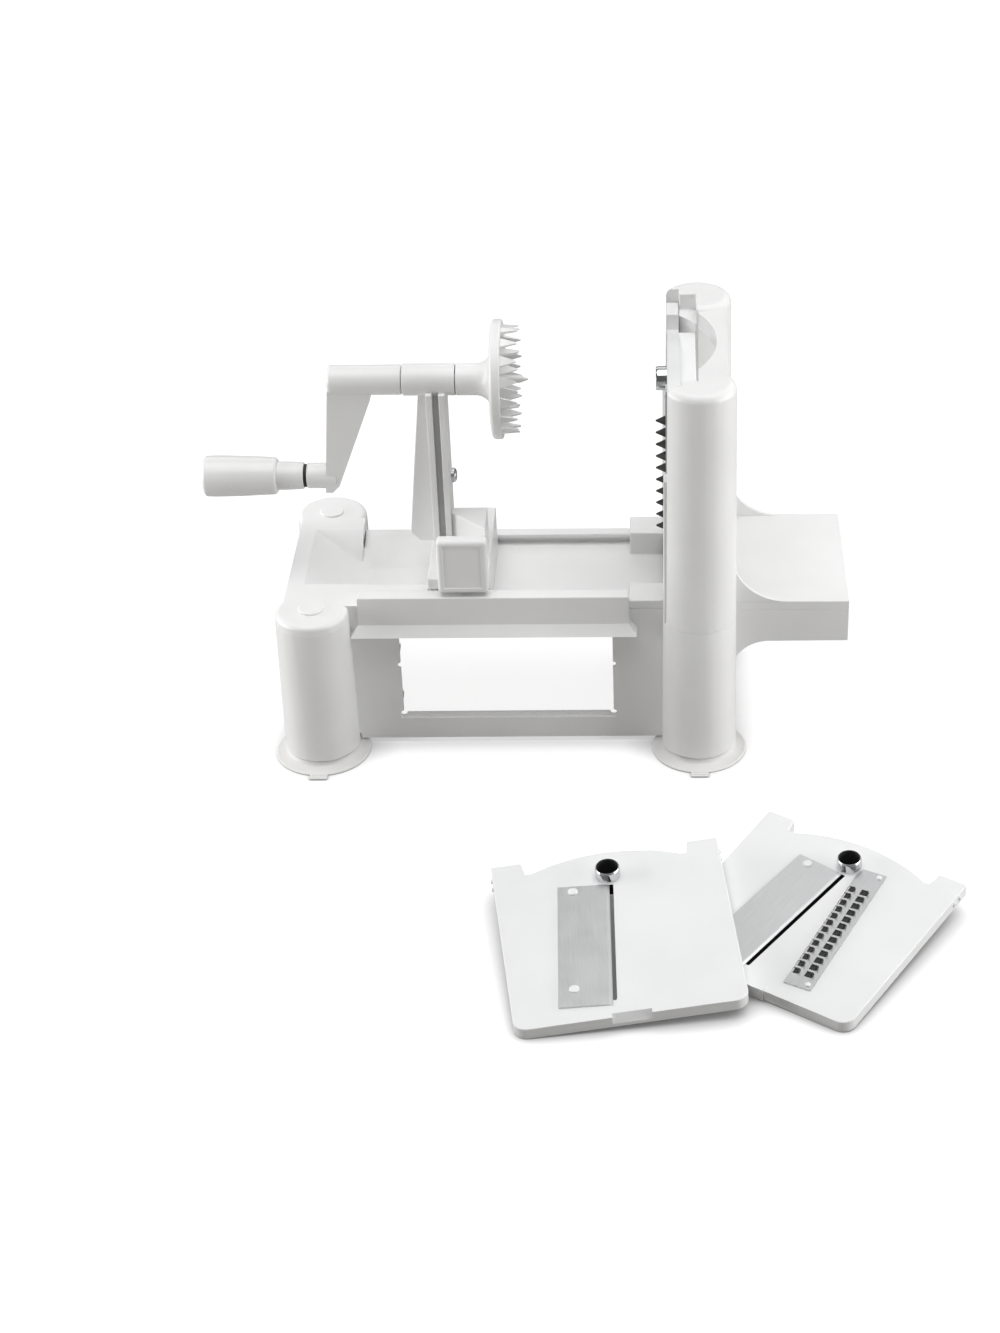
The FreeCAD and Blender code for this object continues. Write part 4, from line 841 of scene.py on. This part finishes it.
def coring_ring(name, matrix):
    """Polished tube with a sharpened rim; its inside is painted shade."""
    top = PLATE_T + RING_PROUD
    inner_r = RING_R - RING_WALL
    edge_r = RING_R - 0.7
    outer = [(0, inner_r), (0, RING_R), (top - 1.4, RING_R), (top - 0.5, RING_R - 0.12)]
    outer += [(top, RING_R - 0.45), (top, edge_r)]
    shaded_inner = [(top, edge_r), (top - 0.6, inner_r), (0, inner_r)]
    centre = Matrix.Translation(Vector((0, RING_V, 0)) * MM)
    bm = bmesh.new()
    add_lathe(bm, outer, centre, 56, 0)
    # the inner wall gets painted shade
    add_lathe(bm, shaded_inner, centre, 56, 1)
    bmesh.ops.remove_doubles(bm, verts=bm.verts, dist=MERGE)
    finish_mesh(name + "_ring_tube", bm, [RING_STEEL, PAINTED_SHADE], name,
                [name + "_coring_ring"], matrix)


def add_stud(bm, x, y, radius, transform):
    """Domed head of a heat-formed stud."""
    profile = [(0, 0), (0, radius)] + corner_arc(STUD_H * 0.2, radius, STUD_H, radius * 0.3, 5, z_first=True)
    profile += [(STUD_H, 0)]
    add_lathe(bm, profile, transform @ Matrix.Translation(Vector((x, y, PLATE_T + BLADE_T)) * MM), 28)


def blade_studs(name, matrix):
    bm = bmesh.new()
    for y in (RING_V - STUD_IN, BLADE_FOOT + STUD_IN):
        add_stud(bm, STUD_X, y, STUD_R, TO_BLADE)
    finish_mesh(name + "_blade_studs", bm, [PLATE_WHITE], name, [name + "_rivets"], matrix)


def strip_studs(name, matrix):
    bm = bmesh.new()
    for y in (RING_V - STRIP_END / 2, STRIP_Y0 + STRIP_END / 2):
        add_stud(bm, STRIP_X1 - STRIP_END / 2, y, STRIP_STUD_R, TO_STRIP)
    finish_mesh(name + "_strip_studs", bm, [PLATE_WHITE], name,
                [name + "_strip_rivets"], matrix)


def strip_sheet(name, matrix, holes):
    """Steel strip beside the slot, with its holes and the room around the coring ring cut out."""
    bm = bmesh.new()
    add_box(bm, STRIP_X0, STRIP_X1, STRIP_Y0, RING_V, PLATE_T, PLATE_T + BLADE_T, TO_STRIP)
    piece = finish_mesh(name + "_toothed_strip", bm, [STRIP_STEEL, PAINTED_SHADE], name,
                        [name + "_strip"], matrix)
    under, over = PLATE_T - CUT_PAST, PLATE_T + 2 * CUT_PAST
    cutter = bmesh.new()
    for x0, x1, y0, y1 in holes:
        add_box(cutter, x0, x1, y0, y1, under, over, TO_STRIP)
    cutter.transform(matrix)
    cut_away(piece, cutter)
    room_r = RING_R + RING_ROOM
    room = bmesh.new()
    add_lathe(room, [(under, 0), (under, room_r), (over, room_r), (over, 0)],
              Matrix.Translation(Vector((0, RING_V, 0)) * MM), 48)
    room.transform(matrix)
    cut_away(piece, room)


TOOTH_TIP_HALF = 0.25
SHADE_IN = 0.8                # patch of painted shade behind the holes, in from the strip's sides
SHADE_FOOT = 1.0
SHADE_HEAD = 3.0
SHADE_UNDER = 0.2             # it starts inside the plate
SHADE_OVER = 0.15             # and ends inside the strip


def strip_teeth(name, matrix, row, pitch, width, thick, height):
    """Upright triangular teeth in painted shade, bent out of the strip along its rows of holes, over a patch
    of painted shade.
    """
    bm = bmesh.new()
    foot_z, tip_z = PLATE_T + BLADE_T / 2, PLATE_T + BLADE_T + height
    for x in row:
        for y in tooth_places(pitch, width):
            tip_y = y + width / 2
            section = [(y, foot_z), (y + width, foot_z), (tip_y + TOOTH_TIP_HALF, tip_z),
                       (tip_y - TOOTH_TIP_HALF, tip_z)]
            add_prism(bm, section, x, x + thick, TO_STRIP)
    # thin sheet of painted shade under the holes
    add_box(bm, STRIP_X0 + SHADE_IN, STRIP_X1 - SHADE_IN, STRIP_Y0 + SHADE_FOOT, STRIP_Y1 + SHADE_HEAD,
            PLATE_T - SHADE_UNDER, PLATE_T + SHADE_OVER, TO_STRIP, 1)
    finish_mesh(name + "_teeth", bm, [SHADED_TOOTH_STEEL, PAINTED_SHADE], name, [], matrix)


def tooth_places(pitch, width):
    """Lower ends of the teeth, up the height of the plate."""
    start = STRIP_Y0 + STRIP_END + STRIP_MARGIN
    count = int((STRIP_Y1 - width - start) / pitch) + 1
    return [start + step * pitch for step in range(count)]


COARSE_ROW = 12.0
COARSE_SLOT = 3.5
COARSE_PITCH = 7.0
COARSE_W = 6.0
COARSE_T = 1.0
COARSE_H = 5.5
FINE_ROWS = (10.0, 17.5)
FINE_PITCH = 5.6
FINE_W = 3.6
FINE_T = 0.8
FINE_H = 2.2
FINE_HOLE = 3.4               # holes beside the fine teeth
FINE_HOLE_LAP = 0.4           # how far they run under the teeth, and past their upper ends
FINE_HOLE_FOOT = 0.2          # and past their lower ends


def mounted_plate():
    chipper = plate("chipper", standing())
    strip_studs("chipper", chipper)
    slot = (COARSE_ROW - COARSE_SLOT, COARSE_ROW, STRIP_Y0 + STRIP_END, STRIP_Y1)
    strip_sheet("chipper", chipper, [slot])
    strip_teeth("chipper", chipper, [COARSE_ROW], COARSE_PITCH, COARSE_W, COARSE_T, COARSE_H)


def spare_plates():
    plate("slicer", lying(SLICER_TURN, SLICER_ROLL))
    shredder = plate("shredder", lying(SHREDDER_TURN, 0.0))
    strip_studs("shredder", shredder)
    holes = [(x - FINE_HOLE, x + FINE_HOLE_LAP, y - FINE_HOLE_FOOT, y + FINE_W + FINE_HOLE_LAP)
             for x in FINE_ROWS for y in tooth_places(FINE_PITCH, FINE_W)]
    strip_sheet("shredder", shredder, holes)
    strip_teeth("shredder", shredder, FINE_ROWS, FINE_PITCH, FINE_W, FINE_T, FINE_H)


# ---------------------------------------------------------------- stage, light and camera
TABLE_R = 8.0                 # metres, as are the distances below
CONTACT_REACH = 0.025         # how far the painted shadow under the object spreads
FAR_FROM, FAR_TO = 0.5, 2.5   # between these distances from its middle the table turns fully white
BOUNCE = (0.39, 0.38, 0.365, 1)        # colour that the object gets back from the table
SHADOWED = (0.26, 0.26, 0.26, 1)       # colour in which the lamps' shadows show


def table():
    """Pale table. Seen directly it glows white, with a painted contact shadow under the object and the lamps'
    shadows left in it.
    """
    material = bpy.data.materials.new("table")
    material.use_nodes = True
    tree = material.node_tree
    tree.nodes.clear()
    # ambient occlusion dims the glow near the object: painted contact shadow
    painted_shadow_occlusion = tree.nodes.new("ShaderNodeAmbientOcclusion")
    painted_shadow_occlusion.inputs["Distance"].default_value = CONTACT_REACH
    glow_with_painted_shadow = ranged(tree, painted_shadow_occlusion.outputs["AO"], 0.10, 0.86, from_low=0.25, from_high=0.85)
    coordinates = tree.nodes.new("ShaderNodeTexCoord")
    distance = tree.nodes.new("ShaderNodeVectorMath")
    distance.operation = "LENGTH"
    tree.links.new(coordinates.outputs["Object"], distance.inputs[0])
    far_away = ranged(tree, distance.outputs["Value"], 0.0, 0.16, FAR_FROM, FAR_TO)
    total = tree.nodes.new("ShaderNodeMath")
    total.operation = "ADD"
    tree.links.new(glow_with_painted_shadow, total.inputs[0])
    tree.links.new(far_away, total.inputs[1])
    glow = tree.nodes.new("ShaderNodeEmission")
    tree.links.new(total.outputs["Value"], glow.inputs["Strength"])
    shadowed = tree.nodes.new("ShaderNodeBsdfDiffuse")
    shadowed.inputs["Color"].default_value = SHADOWED
    seen = tree.nodes.new("ShaderNodeAddShader")
    tree.links.new(glow.outputs[0], seen.inputs[0])
    tree.links.new(shadowed.outputs[0], seen.inputs[1])
    bounce = tree.nodes.new("ShaderNodeBsdfDiffuse")
    bounce.inputs["Color"].default_value = BOUNCE
    path = tree.nodes.new("ShaderNodeLightPath")
    pick = tree.nodes.new("ShaderNodeMixShader")
    tree.links.new(path.outputs["Is Camera Ray"], pick.inputs["Fac"])
    tree.links.new(bounce.outputs[0], pick.inputs[1])
    tree.links.new(seen.outputs[0], pick.inputs[2])
    output = tree.nodes.new("ShaderNodeOutputMaterial")
    tree.links.new(pick.outputs[0], output.inputs["Surface"])
    bm = bmesh.new()
    bmesh.ops.create_circle(bm, cap_ends=True, segments=96, radius=TABLE_R)
    mesh = bpy.data.meshes.new("table")
    bm.to_mesh(mesh)
    bm.free()
    mesh.materials.append(material)
    top = bpy.data.objects.new("table", mesh)
    scene.collection.objects.link(top)


AIM = place(0, 0, 110)
AMBIENT = 0.12                # light of the white room, which itself is seen at full white


def area_light(name, location, width, height, power):
    """Softbox that faces the machine. Its sides are in metres."""
    data = bpy.data.lights.new(name, "AREA")
    data.shape = "RECTANGLE"
    data.size = width
    data.size_y = height
    data.energy = power
    lamp = bpy.data.objects.new(name, data)
    lamp.location = location
    lamp.rotation_euler = (AIM - location).to_track_quat("-Z", "Y").to_euler()
    scene.collection.objects.link(lamp)


def lights():
    area_light("top softbox", place(60, -150, 2000), width=2.2, height=1.9, power=35)
    area_light("left softbox", place(-1300, -90, 260), width=1.2, height=0.5, power=13.5)
    area_light("right softbox", place(1270, -270, 260), width=1.2, height=0.5, power=11.5)
    area_light("rear card", place(100, 1700, 1350), width=2.4, height=1.2, power=8)
    world = bpy.data.worlds.new("studio")
    scene.world = world
    world.use_nodes = True
    tree = world.node_tree
    background = tree.nodes["Background"]
    background.inputs["Color"].default_value = (1, 1, 1, 1)
    path = tree.nodes.new("ShaderNodeLightPath")
    strength = ranged(tree, path.outputs["Is Camera Ray"], AMBIENT, 1.0)
    tree.links.new(strength, background.inputs["Strength"])


SENSOR_W = 36.0
LENS = 90.09
SHIFT_X = -0.18625
SHIFT_Y = -0.02122
EYE = (86.55, -1244.09, 821.12)
LOOK_DOWN = 32.31             # degrees
LOOK_RIGHT = 0.70
FAR_CLIP = 50


def camera():
    """Long lens in front of the machine and above it, with its window shifted to the left."""
    data = bpy.data.cameras.new("camera")
    data.sensor_fit = "HORIZONTAL"
    data.sensor_width = SENSOR_W
    data.lens = LENS
    data.shift_x = SHIFT_X
    data.shift_y = SHIFT_Y
    data.clip_end = FAR_CLIP
    eye = bpy.data.objects.new("camera", data)
    eye.location = place(*EYE)
    eye.rotation_euler = (math.radians(90 - LOOK_DOWN), 0, math.radians(-LOOK_RIGHT))
    scene.collection.objects.link(eye)
    scene.camera = eye


camera()
base_shells()
feet()
carriage()
crank()
mounted_plate()
spare_plates()
table()
lights()
scene.view_settings.view_transform = "Standard"
